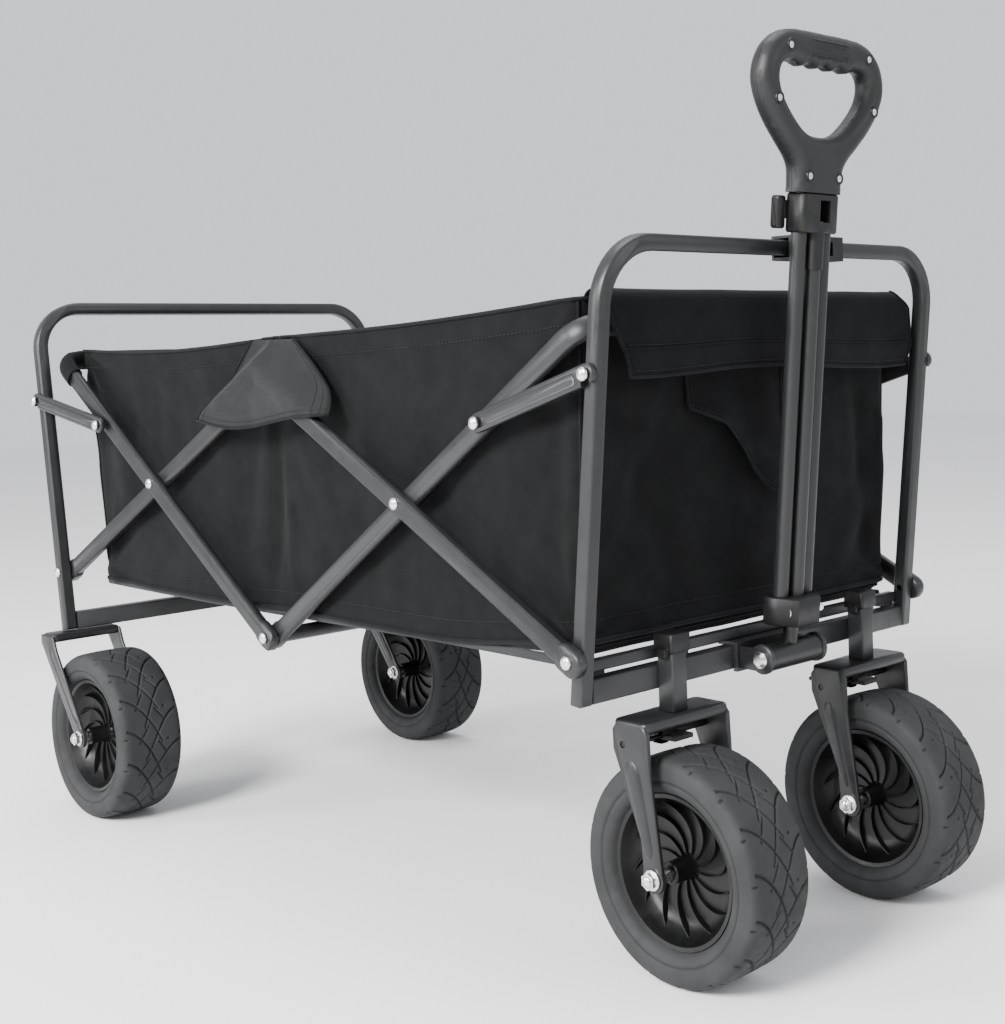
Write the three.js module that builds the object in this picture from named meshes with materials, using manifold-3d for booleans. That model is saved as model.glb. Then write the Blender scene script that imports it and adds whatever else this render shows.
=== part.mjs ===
// Folding wagon with a telescoping pull handle.
// Millimetres, +Z up, X across, the pull handle is at the front end, towards -Y.
import * as THREE from "three";
import { mergeVertices } from "three/addons/utils/BufferGeometryUtils.js";
import Module from "manifold-3d";

const wasm = await Module();
wasm.setup();

const DEG = Math.PI / 180;
const gap = 0.3;

// Driving sizes.
const wheelRadius = 100;
const wheelWidth = 77;
const tube = 15;
const footSpan = 916;
const frontHalf = 237;
const rearHalf = frontHalf + tube + gap;
const hoopCorner = 62;
const railHeight = 21.4;

const casterLead = 39;
const casterHalf = 141;
const rearWheelLead = 81;
const rearWheelHalf = 237.5;

const frontFoot = 251.5;
const frontTop = 643;
const frontLean = 6 * DEG;
const rearFoot = 219.4;
const rearTop = 626;
const rearLean = 8.5 * DEG;

const frontReach = casterLead + wheelRadius;
const rearReach = (rearTop - rearFoot + tube / 2) * Math.tan(rearLean) + tube / 2;
const yFront = (frontReach - rearReach - footSpan) / 2;
const yRear = yFront + footSpan;

// Scissor frame: the lower pivots on the legs, the top pivot and the bottom pivot.
const pivotZ = 291.5;
const topZ = 535;
const bottomZ = 260;
const frontPivotY = yFront - (pivotZ - frontFoot) * Math.tan(frontLean);
const rearPivotY = yRear + (pivotZ - rearFoot) * Math.tan(rearLean);
const midY = (frontPivotY + rearPivotY) / 2;
const crossZ = (pivotZ + topZ) / 2;
const frontCrossY = (frontPivotY + midY) / 2;
const rearCrossY = (rearPivotY + midY) / 2;
const bowAngle = Math.atan2(crossZ - bottomZ, midY - frontCrossY);
const topPlay = 7.8;
const frontBowRise = 571;
const rearBowRise = 544;
const barWidth = 20;
const barDepth = 10;
const innerLayer = frontHalf + tube / 2 - barDepth / 2;
const outerLayer = innerLayer + barDepth + 2 * gap;

// Stays between the legs and the bows.
const frontStayZ = 533;
const rearStayZ = 509;
const frontStayRise = 419.5;
const rearStayRise = 400;
const stayDepth = 8;

// Bag.
const bagFloor = 288;
const bagHalf = innerLayer - barDepth / 2 - 4.5;
const bagWall = 3;

// Handle, measured along its own axis from the pivot.
const handleZ = 263;
const handleY = yFront - 37;
const handleLean = 5.5 * DEG;
const tubeSpacing = 17.7;
const midTubeForward = 3.9;
const tubeRadius = 7.6;
const tubeBore = 6.1;
const rodRadius = 5.5;

const paint = { color: "#4a4b4d", roughness: 0.5, metalness: 0.35 };
const plastic = { color: "#2e3032", roughness: 0.6, metalness: 0 };
const rubber = { color: "#3f4245", roughness: 0.85, metalness: 0 };
const rimBlack = { color: "#17181a", roughness: 0.5, metalness: 0 };
const zinc = { color: "#c9ccce", roughness: 0.3, metalness: 0.9 };
const cloth = { color: "#242628", roughness: 0.95, metalness: 0 };

const wagon = new THREE.Group();
wagon.name = "folding_wagon";

// ---- solids

function toManifold(geometry) {
  const bare = geometry.clone();
  bare.deleteAttribute("normal");
  bare.deleteAttribute("uv");
  const welded = mergeVertices(bare, 1e-3);
  const points = welded.getAttribute("position");
  const source = welded.index.array;
  const faces = [];
  let volume = 0;
  const a = new THREE.Vector3();
  const b = new THREE.Vector3();
  const c = new THREE.Vector3();
  for (let i = 0; i < source.length; i += 3) {
    const [p, q, r] = [source[i], source[i + 1], source[i + 2]];
    if (p === q || q === r || r === p) continue;
    faces.push(p, q, r);
    a.fromBufferAttribute(points, p);
    b.fromBufferAttribute(points, q);
    c.fromBufferAttribute(points, r);
    volume += a.dot(b.cross(c));
  }
  const triVerts = Uint32Array.from(volume < 0 ? faces.reverse() : faces);
  const vertProperties = Float32Array.from(points.array);
  return new wasm.Manifold(new wasm.Mesh({ numProp: 3, vertProperties, triVerts }));
}

function toGeometry(manifold) {
  const mesh = manifold.getMesh();
  const geometry = new THREE.BufferGeometry();
  geometry.setAttribute("position", new THREE.BufferAttribute(mesh.vertProperties, 3));
  geometry.setIndex(new THREE.BufferAttribute(mesh.triVerts, 1));
  return geometry;
}

function join(...pieces) {
  return toGeometry(pieces.map(toManifold).reduce((whole, piece) => whole.add(piece)));
}

function cut(body, ...tools) {
  return toGeometry(tools.map(toManifold).reduce((whole, tool) => whole.subtract(tool), toManifold(body)));
}

function common(body, tool) {
  return toGeometry(toManifold(body).intersect(toManifold(tool)));
}

function mirrored(geometry) {
  return toGeometry(toManifold(geometry.clone().scale(-1, 1, 1)));
}

function add(name, geometry, material) {
  const solid = toGeometry(toManifold(geometry));
  solid.computeVertexNormals();
  const mesh = new THREE.Mesh(solid, new THREE.MeshStandardMaterial(material));
  mesh.name = name;
  wagon.add(mesh);
}

// ---- shapes

function outline(points, holes = []) {
  const shape = new THREE.Shape(points.map(([u, v]) => new THREE.Vector2(u, v)));
  for (const hole of holes) {
    shape.holes.push(new THREE.Path(hole.map(([u, v]) => new THREE.Vector2(u, v))));
  }
  return shape;
}

function roundedRect(width, height, radius) {
  const w = width / 2;
  const h = height / 2;
  const shape = new THREE.Shape();
  shape.moveTo(-w + radius, -h);
  shape.lineTo(w - radius, -h);
  shape.absarc(w - radius, -h + radius, radius, -Math.PI / 2, 0, false);
  shape.lineTo(w, h - radius);
  shape.absarc(w - radius, h - radius, radius, 0, Math.PI / 2, false);
  shape.lineTo(-w + radius, h);
  shape.absarc(-w + radius, h - radius, radius, Math.PI / 2, Math.PI, false);
  shape.lineTo(-w, -h + radius);
  shape.absarc(-w + radius, -h + radius, radius, Math.PI, Math.PI * 1.5, false);
  return shape;
}

function bowOutline(half, rise, radius, width) {
  const outer = half + width / 2;
  const inner = half - width / 2;
  const top = rise + width / 2;
  const small = Math.max(radius - width, 0.1);
  const shape = new THREE.Shape();
  shape.moveTo(outer, 0);
  shape.lineTo(outer, top - radius);
  shape.absarc(outer - radius, top - radius, radius, 0, Math.PI / 2, false);
  shape.lineTo(-outer + radius, top);
  shape.absarc(-outer + radius, top - radius, radius, Math.PI / 2, Math.PI, false);
  shape.lineTo(-outer, 0);
  shape.lineTo(-inner, 0);
  shape.lineTo(-inner, top - radius);
  shape.absarc(-outer + radius, top - radius, small, Math.PI, Math.PI / 2, true);
  shape.lineTo(outer - radius, top - width);
  shape.absarc(outer - radius, top - radius, small, Math.PI / 2, 0, true);
  shape.lineTo(inner, 0);
  return shape;
}

function plate(shape, thickness, bevel = 1, segments = 1, curveSegments = 4) {
  const settings = {
    depth: thickness - 2 * bevel,
    bevelEnabled: bevel > 0,
    bevelThickness: bevel,
    bevelSize: bevel,
    bevelOffset: -bevel,
    bevelSegments: segments,
    curveSegments,
  };
  const geometry = new THREE.ExtrudeGeometry(shape, settings);
  geometry.translate(0, 0, bevel - thickness / 2);
  return geometry;
}

// Shape (u, v) to (Y, Z), thickness along X.
function facingX(geometry) {
  return geometry.rotateX(Math.PI / 2).rotateZ(Math.PI / 2);
}

// Shape (u, v) to (X, Z), thickness along Y.
function facingY(geometry) {
  return geometry.rotateX(Math.PI / 2);
}

function box(x0, x1, y0, y1, z0, z1) {
  const geometry = new THREE.BoxGeometry(x1 - x0, y1 - y0, z1 - z0);
  return geometry.translate((x0 + x1) / 2, (y0 + y1) / 2, (z0 + z1) / 2);
}

function turned(profile, segments = 16) {
  return new THREE.LatheGeometry(profile.map(([r, h]) => new THREE.Vector2(r, h)), segments);
}

function rodProfile(radius, start, end, edge) {
  if (edge === 0) return [[0, start], [radius, start], [radius, end], [0, end]];
  return [[0, start], [radius - edge, start], [radius, start + edge], [radius, end - edge],
    [radius - edge, end], [0, end]];
}

function rodZ(radius, z0, z1, edge = 0.6, segments = 14) {
  return turned(rodProfile(radius, z0, z1, edge), segments).rotateX(Math.PI / 2);
}

function rodX(radius, x0, x1, edge = 0.6, segments = 12) {
  return turned(rodProfile(radius, x0, x1, edge), segments).rotateZ(-Math.PI / 2);
}

function hexX(across, x0, x1) {
  const radius = across / Math.sqrt(3);
  const geometry = new THREE.CylinderGeometry(radius, radius, x1 - x0, 6);
  return geometry.rotateZ(Math.PI / 2).translate((x0 + x1) / 2, 0, 0);
}

// Domed head, from x0 outwards to -X.
function rivetHead(x0) {
  return turned([[0, 0], [6.5, 0], [5, 2.2], [0, 3]], 8).rotateZ(Math.PI / 2)
    .translate(x0, 0, 0);
}

// Rivet on the right side: its shank from inside to outside, and its domed head.
function rivet(outside, inside) {
  return join(rodX(3, outside - 1, inside + 1, 0, 8), rivetHead(outside));
}

// ---- hoops, rails and posts

function leaning(geometry, lean, y, z) {
  return geometry.rotateX(lean).translate(0, y, z);
}

const frontLength = (frontTop - frontFoot) / Math.cos(frontLean);
const rearLength = (rearTop - rearFoot) / Math.cos(rearLean);

function legY(z, foot, footZ, lean) {
  return foot - (z - footZ) * Math.tan(lean);
}

function hoop(half, length, lean, y, z, studZ, studX) {
  const bare = plate(bowOutline(half, length, hoopCorner, tube), tube, 2, 1, 6);
  const body = leaning(facingY(bare), lean, y, z);
  const studY = legY(studZ, y, z, lean);
  const stud = join(rodX(4, -studX - 1, -half, 0, 8), rivetHead(-studX))
    .translate(0, studY, studZ);
  return join(body, stud, mirrored(stud));
}

const rearStayLayer = rearHalf + tube / 2 + gap + stayDepth / 2;
const frontStayLayer = frontHalf + tube / 2 + gap + stayDepth / 2;
const stayGap = stayDepth / 2 + gap;

const frontPivotHole = rodX(3.3, -outerLayer, -frontHalf + 20, 0, 8)
  .translate(0, frontPivotY, pivotZ);
const frontHoop = hoop(frontHalf, frontLength, frontLean, yFront, frontFoot,
  frontStayZ, frontStayLayer + stayGap);
add("front_hoop", cut(frontHoop, frontPivotHole, mirrored(frontPivotHole)), paint);

const rearPivotHole = rodX(3.3, -rearHalf - 20, -rearHalf + 20, 0, 8)
  .translate(0, rearPivotY, pivotZ);
const rearHoop = hoop(rearHalf, rearLength, -rearLean, yRear, rearFoot,
  rearStayZ, rearStayLayer + stayGap);
add("rear_hoop", cut(rearHoop, rearPivotHole, mirrored(rearPivotHole)), paint);

function rail(half, y, z0, z1, depth) {
  const shape = roundedRect(depth, z1 - z0, 2);
  const bar = plate(shape, 2 * (half - tube / 2 - gap), 0.5, 1, 3);
  return facingX(bar).translate(0, y, (z0 + z1) / 2);
}

const frontRail = rail(frontHalf, yFront, frontFoot, frontFoot + railHeight, tube);
add("front_lower_rail", frontRail, paint);
add("rear_lower_rail", rail(rearHalf, yRear, rearFoot, rearFoot + railHeight, tube), paint);

const floorRailY = yFront + 5;
const floorRail = rail(frontHalf, floorRailY, bagFloor - 11, bagFloor - 1, 11);
const railFoot = box(-224, -208, floorRailY - 5, floorRailY + 7, frontFoot + railHeight + gap, bagFloor - 6);
add("front_floor_rail", join(floorRail, railFoot, mirrored(railFoot)), paint);

const postSide = 19;
const postY = yFront - tube / 2 - gap - postSide / 2;
const postFoot = 232.7;
const postTop = 299;
const kingRadius = 6;
const postHole = rodZ(kingRadius + gap, postFoot - 2, postFoot + 42, 0.5, 16)
  .translate(-casterHalf, postY, 0);
const post = cut(
  plate(roundedRect(postSide, postSide, 2), postTop - postFoot, 0.4, 1, 3)
    .translate(-casterHalf, postY, (postTop + postFoot) / 2), postHole);
add("caster_post_right", post, paint);
add("caster_post_left", mirrored(post), paint);

const capFoot = 285;
const capBody = plate(roundedRect(postSide + 6, postSide + 5, 3), postTop + 3 - capFoot, 1, 1, 3)
  .translate(0, 0, (postTop + 3 + capFoot) / 2);
const capSocket = box(-postSide / 2 - gap, postSide / 2 + gap, -postSide / 2 - gap, postSide / 2 + gap,
  capFoot - 6, postTop + gap);
const capClip = box(-postSide / 2 - 6, postSide / 2 + 6, -6, 4, capFoot - 4, capFoot + 4);
const cap = cut(join(capBody, capClip), capSocket).translate(-casterHalf, postY, 0);
add("caster_cap_right", cap, plastic);
add("caster_cap_left", mirrored(cap), plastic);

// ---- scissor bars and bows

function barBetween(from, to, layer, before, after) {
  const [y0, z0] = from;
  const [y1, z1] = to;
  const length = Math.hypot(y1 - y0, z1 - z0);
  const shape = roundedRect(length + before + after, barWidth, 5);
  const bar = facingX(plate(shape, barDepth, 2, 1, 2))
    .translate(-layer, length / 2 + (after - before) / 2, 0);
  return bar.rotateX(Math.atan2(z1 - z0, y1 - y0)).translate(0, y0, z0);
}

// Moulded end cap around the lower end of a bar.
function endCap(angle, at, layer, hole) {
  const shape = roundedRect(34, barWidth + 4, 11);
  const body = facingX(plate(shape, barDepth + 2, 2, 1, 2)).translate(-layer, 2, 0);
  const tool = rodX(hole, -layer - 12, -layer + 12, 0, 8);
  return [body.rotateX(angle).translate(0, at[0], at[1]), tool.translate(0, at[0], at[1])];
}

const frontPivot = [frontPivotY, pivotZ];
const rearPivot = [rearPivotY, pivotZ];
const topPivot = [midY, topZ];
const bottomPivot = [midY, bottomZ];
const barAngle = Math.atan2(topZ - pivotZ, midY - frontPivotY);
const capLayer = outerLayer + 0.7;

// Front bars: lower pivot on the front legs, up to the top pivot, outside the bows.
function at(geometry, point) {
  return geometry.translate(0, point[0], point[1]);
}

const frontBarCap = endCap(barAngle, frontPivot, capLayer, 3.3);
const frontBarRivet = at(rivet(-capLayer - barDepth / 2 - 1, -frontHalf - tube / 2 + 6), frontPivot);
const crossRivet = rivet(-outerLayer - barDepth / 2, -innerLayer + barDepth / 2 + gap);
const topRivet = rivet(-outerLayer - barDepth / 2, -innerLayer + barDepth / 2 + gap);
const frontBar = join(
  barBetween(frontPivot, topPivot, outerLayer, 10, 13), frontBarCap[0],
  frontBarRivet, at(crossRivet.clone(), [frontCrossY, crossZ]), at(topRivet.clone(), topPivot));
add("front_bar_right", frontBar, paint);
add("front_bar_left", mirrored(frontBar), paint);

// Rear bars: lower pivot inside the rear legs, up to the top pivot, in the inner layer.
function boreAt(point, layer, radius = 3.4) {
  return rodX(radius, -layer - 9, -layer + 9, 0, 8).translate(0, point[0], point[1]);
}

const rearBarCap = endCap(Math.PI - barAngle, rearPivot, innerLayer - 0.7, 3.3);
const rearBarRivet = at(rivet(-rearHalf - tube / 2, -innerLayer + barDepth / 2 + 1), rearPivot);
const rearBar = join(cut(
  join(barBetween(rearPivot, topPivot, innerLayer, 10, 13), rearBarCap[0]),
  boreAt([rearCrossY, crossZ], innerLayer), boreAt(topPivot, innerLayer, topPlay)), rearBarRivet);
add("rear_bar_right", rearBar, paint);
add("rear_bar_left", mirrored(rearBar), paint);

// A bow: both side bars and the bent tube across, raised from the bottom pivot.
function scissorBow(layer, rise, turn, stayRise, stayLayer) {
  const below = 12;
  const flat = plate(bowOutline(layer, rise + below, 30, barDepth), barWidth, 2, 1, 4);
  const bow = facingY(flat).translate(0, 0, -below);
  const foot = facingX(plate(roundedRect(barWidth + 4, 34, 11), barDepth, 2, 1, 2))
    .translate(-layer, 0, 3);
  const bore = rodX(3.4, -layer - 9, -layer + 9, 0, 8);
  const inside = -layer + barDepth / 2;
  const stayRivet = join(rodX(3, -stayLayer - stayGap - 1, inside + 1, 0, 8),
    rivetHead(-stayLayer - stayGap)).translate(0, 0, stayRise);
  const whole = join(bow, foot, mirrored(foot));
  const bored = cut(whole, bore, mirrored(bore));
  const pinned = join(bored, stayRivet, mirrored(stayRivet));
  return pinned.rotateX(turn * (Math.PI / 2 - bowAngle)).translate(0, midY, bottomZ);
}

const frontCrossBore = boreAt([frontCrossY, crossZ], innerLayer);
const frontBow = cut(
  scissorBow(innerLayer, frontBowRise, 1, frontStayRise, frontStayLayer),
  frontCrossBore, mirrored(frontCrossBore));
add("front_bow", frontBow, paint);

const rearCrossRivet = at(crossRivet.clone(), [rearCrossY, crossZ]);
const rearBow = join(
  scissorBow(outerLayer, rearBowRise, -1, rearStayRise, rearStayLayer),
  rearCrossRivet, mirrored(rearCrossRivet));
add("rear_bow", rearBow, paint);

const tieHead = at(join(rodX(3, -outerLayer - 7, -innerLayer + 12, 0, 8),
  rivetHead(-outerLayer - barDepth / 2 - 0.8)), bottomPivot);
const tieReach = innerLayer - barDepth / 2 - 1;
const tieRod = at(rodX(8, -tieReach, tieReach, 0.6, 20), bottomPivot);
add("centre_cross_tube", join(tieRod, tieHead, mirrored(tieHead)), paint);

// ---- stays, pinned to the bows, with a hook that sits on a stud of the leg

function stay(bowPoint, legPoint, layer) {
  const length = Math.hypot(legPoint[0] - bowPoint[0], legPoint[1] - bowPoint[1]);
  const angle = Math.atan2(legPoint[1] - bowPoint[1], legPoint[0] - bowPoint[0]);
  const shape = roundedRect(length + 18, 18, 9);
  const body = facingX(plate(shape, stayDepth - 2, 1, 1, 3)).translate(-layer + 1, length / 2, 0);
  const ridge = facingX(plate(roundedRect(length - 24, 10, 4.5), 4, 1.8, 1, 2))
    .translate(-layer - 2, length / 2, 0);
  const pinHole = rodX(3.4, -layer - 9, -layer + 9, 0, 8);
  const hookHole = rodX(4.4, -layer - 9, -layer + 9, 0, 8).translate(0, length, 0);
  const slot = box(-layer - 9, -layer + 9, legPoint[0] - 5, legPoint[0] + 5, legPoint[1] - 16, legPoint[1]);
  const made = cut(join(body, ridge), pinHole, hookHole);
  return cut(made.rotateX(angle).translate(0, bowPoint[0], bowPoint[1]), slot);
}

function onBow(side, rise) {
  return [midY + side * rise * Math.cos(bowAngle), bottomZ + rise * Math.sin(bowAngle)];
}

const frontStayBow = onBow(-1, frontStayRise);
const rearStayBow = onBow(1, rearStayRise);
const frontStayLeg = [legY(frontStayZ, yFront, frontFoot, frontLean), frontStayZ];
const rearStayLeg = [legY(rearStayZ, yRear, rearFoot, -rearLean), rearStayZ];
const frontStay = stay(frontStayBow, frontStayLeg, frontStayLayer);
const rearStay = stay(rearStayBow, rearStayLeg, rearStayLayer);
add("front_stay_right", frontStay, paint);
add("front_stay_left", mirrored(frontStay), paint);
add("rear_stay_right", rearStay, paint);
add("rear_stay_left", mirrored(rearStay), paint);

// ---- wheels

const tyreInner = 68;
const half = wheelWidth / 2;
const tyreSide = [
  [tyreInner, 28], [tyreInner + 4, half - 4], [86, half], [95, half - 4], [wheelRadius, half - 15],
];
const tyreProfile = [...tyreSide, ...tyreSide.map(([r, x]) => [r, -x]).reverse(), tyreSide[0]];

const rimSide = [[5.8, 36], [15, 36], [17, 8], [57, 8], [61, 30], [67.7, 32]];
const rimProfile = [...rimSide, ...rimSide.map(([r, x]) => [r, -x]).reverse(), rimSide[0]];

const tyre = turned(tyreProfile, 32).rotateZ(-Math.PI / 2);
const wheelRim = turned(rimProfile, 24).rotateZ(-Math.PI / 2);

function axle(reach) {
  const outside = reach + gap;
  const head = join(rodX(9, -outside - 1.6, -outside, 0, 12), hexX(13, -outside - 7, -outside - 1.2));
  return join(rodX(5.4, -outside - 9, outside + 9, 0.8, 10), head, mirrored(head));
}

function addWheel(name, x, y, reach) {
  const place = (geometry) => geometry.translate(x, y, wheelRadius);
  add(`${name}_tyre`, place(tyre.clone()), rubber);
  add(`${name}_rim`, place(wheelRim.clone()), rimBlack);
  add(`${name}_axle`, place(axle(reach)), zinc);
}

const frontAxleY = yFront - casterLead;
const rearAxleY = yRear - rearWheelLead;
const frontForkReach = 55;
const rearForkReach = 46;

// ---- forks

function blade(points, axleY, thickness) {
  const shape = outline(points);
  const side = facingX(plate(shape, thickness, 1.2, 1, 4));
  const eye = rodX(12, -thickness / 2, thickness / 2, 0, 16).translate(0, axleY, wheelRadius);
  const bore = rodX(5.7, -9, 9, 0, 10).translate(0, axleY, wheelRadius);
  return cut(join(side, eye), bore);
}

function fork(reach, crownY, crownDepth, crownTop, points, axleY, thickness) {
  const middle = reach - thickness / 2;
  const crown = plate(roundedRect(2 * reach, crownDepth, 8), 10, 3, 2, 3)
    .translate(0, crownY, crownTop - 5);
  const side = blade(points, axleY, thickness);
  return join(crown, side.clone().translate(-middle, 0, 0), side.clone().translate(middle, 0, 0));
}

const crownTop = postFoot - gap;
const frontBlade = [
  [-19, crownTop - 9], [-14, crownTop - 3], [18, crownTop - 3], [23, crownTop - 9], [22.5, crownTop - 26],
  [-8, 132], [-10.5, wheelRadius + 1], [-29.2, wheelRadius - 10], [-33, wheelRadius + 1],
  [-20.5, crownTop - 42],
];
const axleAhead = frontAxleY - postY;
const kingpin = rodZ(kingRadius, crownTop - 12, crownTop + 38, 0.6, 12);
const frontFork = join(fork(frontForkReach, 2, 42, crownTop, frontBlade, axleAhead, 5), kingpin);
const pinBore = rodX(3.3, -60, 60, 0, 8).translate(0, 10, 211);
const boredFork = cut(frontFork, pinBore);

const crownRear = rearFoot - 1.5;
const rearBlade = [
  [15, crownRear - 2], [-16, crownRear - 2], [-24, crownRear - 20], [-rearWheelLead - 10, 104],
  [-rearWheelLead - 3, 89], [-rearWheelLead + 10, 97], [15, crownRear - 12],
];
const rearFork = fork(rearForkReach, -1, 30, crownRear, rearBlade, -rearWheelLead, 4);

for (const [name, side] of [["right", -1], ["left", 1]]) {
  add(`front_fork_${name}`, boredFork.clone().translate(side * casterHalf, postY, 0), paint);
  addWheel(`front_${name}`, side * casterHalf, frontAxleY, frontForkReach);
  add(`rear_fork_${name}`, rearFork.clone().translate(side * rearWheelHalf, yRear, 0), paint);
  addWheel(`rear_${name}`, side * rearWheelHalf, rearAxleY, rearForkReach);
}

const pedalPlate = plate(roundedRect(26, 44, 5), 3.5, 1, 1, 3).translate(-18, 24, 211);
const pedalBarrel = rodX(3.8, -49.5, 49.5, 0, 12).translate(0, 10, 211);
const pedalPin = rodX(3, -54, 54, 0, 8).translate(0, 10, 211);
const pedalShoe = box(-12, 12, -12, 12, 208, 212);
const pedal = join(pedalPlate, pedalBarrel, pedalPin, pedalShoe);
add("brake_pedal_right", pedal.clone().translate(-casterHalf, postY, 0), plastic);
add("brake_pedal_left", pedal.clone().translate(casterHalf, postY, 0), plastic);

// ---- handle

function onHandle(geometry) {
  return geometry.rotateX(handleLean).translate(0, handleY, handleZ);
}

const pivotRadius = 12.5;
const pivotReach = 36;
const ear = join(
  rodX(14, -pivotReach - 5.5, -pivotReach - gap, 1, 20).translate(0, handleY, handleZ),
  box(-pivotReach - 5.5, -pivotReach - gap, handleY, yFront - tube / 2 - 1, handleZ - 11, handleZ + 9));
const bracketTopZ = frontFoot + railHeight + 4;
const bracketFace = box(-47, 47, yFront - tube / 2 - 5, yFront - tube / 2 - gap, frontFoot - 2, bracketTopZ);
const bracketTop = box(-47, 47, yFront - tube / 2 - 5, yFront + tube / 2 + 3,
  bracketTopZ - 4 + gap, bracketTopZ);
const earBore = rodX(4.3, -60, 60, 0, 10).translate(0, handleY, handleZ);
const bracket = cut(join(bracketFace, bracketTop, ear, mirrored(ear)), earBore);
add("handle_bracket", bracket, paint);

const boltEnd = pivotReach + 5.5 + gap;
const boltHead = turned([[0, 0], [8, 0], [8, 2], [5, 5], [0, 5.4]], 20).rotateZ(Math.PI / 2);
const pivotBolt = join(rodX(4, -boltEnd - 2, boltEnd + 2, 0.3, 16), boltHead.translate(-boltEnd, 0, 0),
  hexX(13, boltEnd, boltEnd + 7));
add("handle_pivot_bolt", pivotBolt.translate(0, handleY, handleZ), zinc);

const footBore = rodX(4.3, -60, 60, 0, 10);
const foot = cut(join(rodX(pivotRadius, -pivotReach, pivotReach, 1, 20), rodZ(7, 6, 30, 0.4, 14)), footBore);
add("handle_foot", onHandle(foot), paint);

const blockOutline = outline([
  [-30, 10], [-31, 2], [-28, -6], [-16, -21], [16, -21], [28, -6], [31, 2], [30, 10],
]);
const blockBottom = 30 + gap;
const blockTop = 57;
const tubeFoot = blockTop - 14;
const tubeTop = 404;

function tubeAt(x, forward, radius, z0, z1) {
  return rodZ(radius, z0, z1, 0, 14).translate(x, -forward, 0);
}

const block = cut(
  plate(blockOutline, blockTop - blockBottom, 1.5, 1, 2).translate(0, 0, (blockTop + blockBottom) / 2),
  tubeAt(-tubeSpacing, 0, tubeRadius + gap, tubeFoot - gap, 80),
  tubeAt(tubeSpacing, 0, tubeRadius + gap, tubeFoot - gap, 80),
  tubeAt(0, midTubeForward, tubeRadius + gap, tubeFoot - gap, 80));
add("handle_block", onHandle(block), plastic);

function handleTube(x, forward) {
  const outside = tubeAt(x, forward, tubeRadius, tubeFoot, tubeTop);
  return cut(outside, tubeAt(x, forward, tubeBore, tubeFoot + 3, tubeTop + 9));
}

add("handle_tube_right", onHandle(handleTube(-tubeSpacing, 0)), paint);
add("handle_tube_left", onHandle(handleTube(tubeSpacing, 0)), paint);
add("handle_tube_middle", onHandle(handleTube(0, midTubeForward)), paint);

const collarWidth = 54;
const collarDepth = 25.4;
const collarFoot = 393;
const collarTop = 429;
const collarMiddle = (collarFoot + collarTop) / 2;
const collarBody = join(
  plate(roundedRect(collarWidth, collarDepth, 8), collarTop - collarFoot, 1.5, 1, 3)
    .translate(0, 0, collarMiddle),
  tubeAt(0, midTubeForward, 9.5, collarFoot - 33, collarFoot + 2));
const rodPassage = (x) => tubeAt(x, 0, tubeBore, collarFoot - 9, collarTop + 9);
const socket = (x, forward) => tubeAt(x, forward, tubeRadius + gap, collarFoot - 60, tubeTop + gap);
const frontWindow = box(-4, 10.5, -collarDepth, 0, tubeTop - 1, collarTop - 6);
const buttonHeight = 30;
const pocketHalf = buttonHeight / 2 + 0.6;
const sidePocket = box(-40, -13.4, 6.9, 11.2, collarMiddle - pocketHalf, collarMiddle + pocketHalf);
const collar = cut(collarBody, rodPassage(-tubeSpacing), rodPassage(tubeSpacing), socket(-tubeSpacing, 0),
  socket(tubeSpacing, 0), socket(0, midTubeForward), frontWindow, sidePocket);
add("handle_collar", onHandle(collar), plastic);

const buttonPlate = facingX(plate(roundedRect(10, buttonHeight, 3), 11, 1.5, 1, 3))
  .translate(-34, 12.5, collarMiddle);
const buttonStem = box(-31, -18, 7.3, 10.8, tubeTop + 1.2, collarTop - 7);
add("release_button", onHandle(join(buttonPlate, buttonStem)), plastic);

const neckFoot = collarTop + gap;
const rodFoot = 70;
const rodEmbed = 30;
const innerRod = (x) => tubeAt(x, 0, rodRadius, rodFoot, neckFoot + rodEmbed);
add("inner_rod_right", onHandle(innerRod(-tubeSpacing)), zinc);
add("inner_rod_left", onHandle(innerRod(tubeSpacing)), zinc);

// Grip outline, right half, and the half of the hand hole, above the neck.
const gripHalf = [
  [29, 0], [29, 14], [31, 22], [38, 29.5], [49.5, 39.5], [64, 55], [75, 70], [82, 84], [84.7, 98], [83, 112],
  [76, 126], [64, 136.5], [48, 142], [25, 143],
];
const holeHalf = [
  [0, 50.5], [15, 52], [28, 57], [39, 66], [49, 77], [56.5, 88], [59.5, 98], [58, 106], [52, 112],
  [44, 114.5],
];
const fingerLobes = 4;

function bothSides(points) {
  return [...points, ...points.map(([x, z]) => [-x, z]).reverse()];
}

function fingerLine(half) {
  const points = [];
  const steps = fingerLobes * 3;
  for (let i = 1; i < steps; i += 1) {
    const t = i / steps;
    points.push([half * (1 - 2 * t), 114 - 3 * Math.sin(Math.PI * fingerLobes * t) ** 2]);
  }
  return points;
}

function gripBody(shrink, thickness, bevel, segments) {
  const hole = [...holeHalf, ...fingerLine(42), ...holeHalf.slice(1).map(([x, z]) => [-x, z]).reverse()];
  const shape = outline(bothSides(gripHalf), [hole]);
  const settings = {
    depth: thickness - 2 * bevel,
    bevelEnabled: true,
    bevelThickness: bevel,
    bevelSize: bevel,
    bevelOffset: -bevel - shrink,
    bevelSegments: segments,
  };
  const geometry = new THREE.ExtrudeGeometry(shape, settings);
  geometry.translate(0, 0, bevel - thickness / 2);
  return facingY(geometry).translate(0, 0, neckFoot);
}

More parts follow.
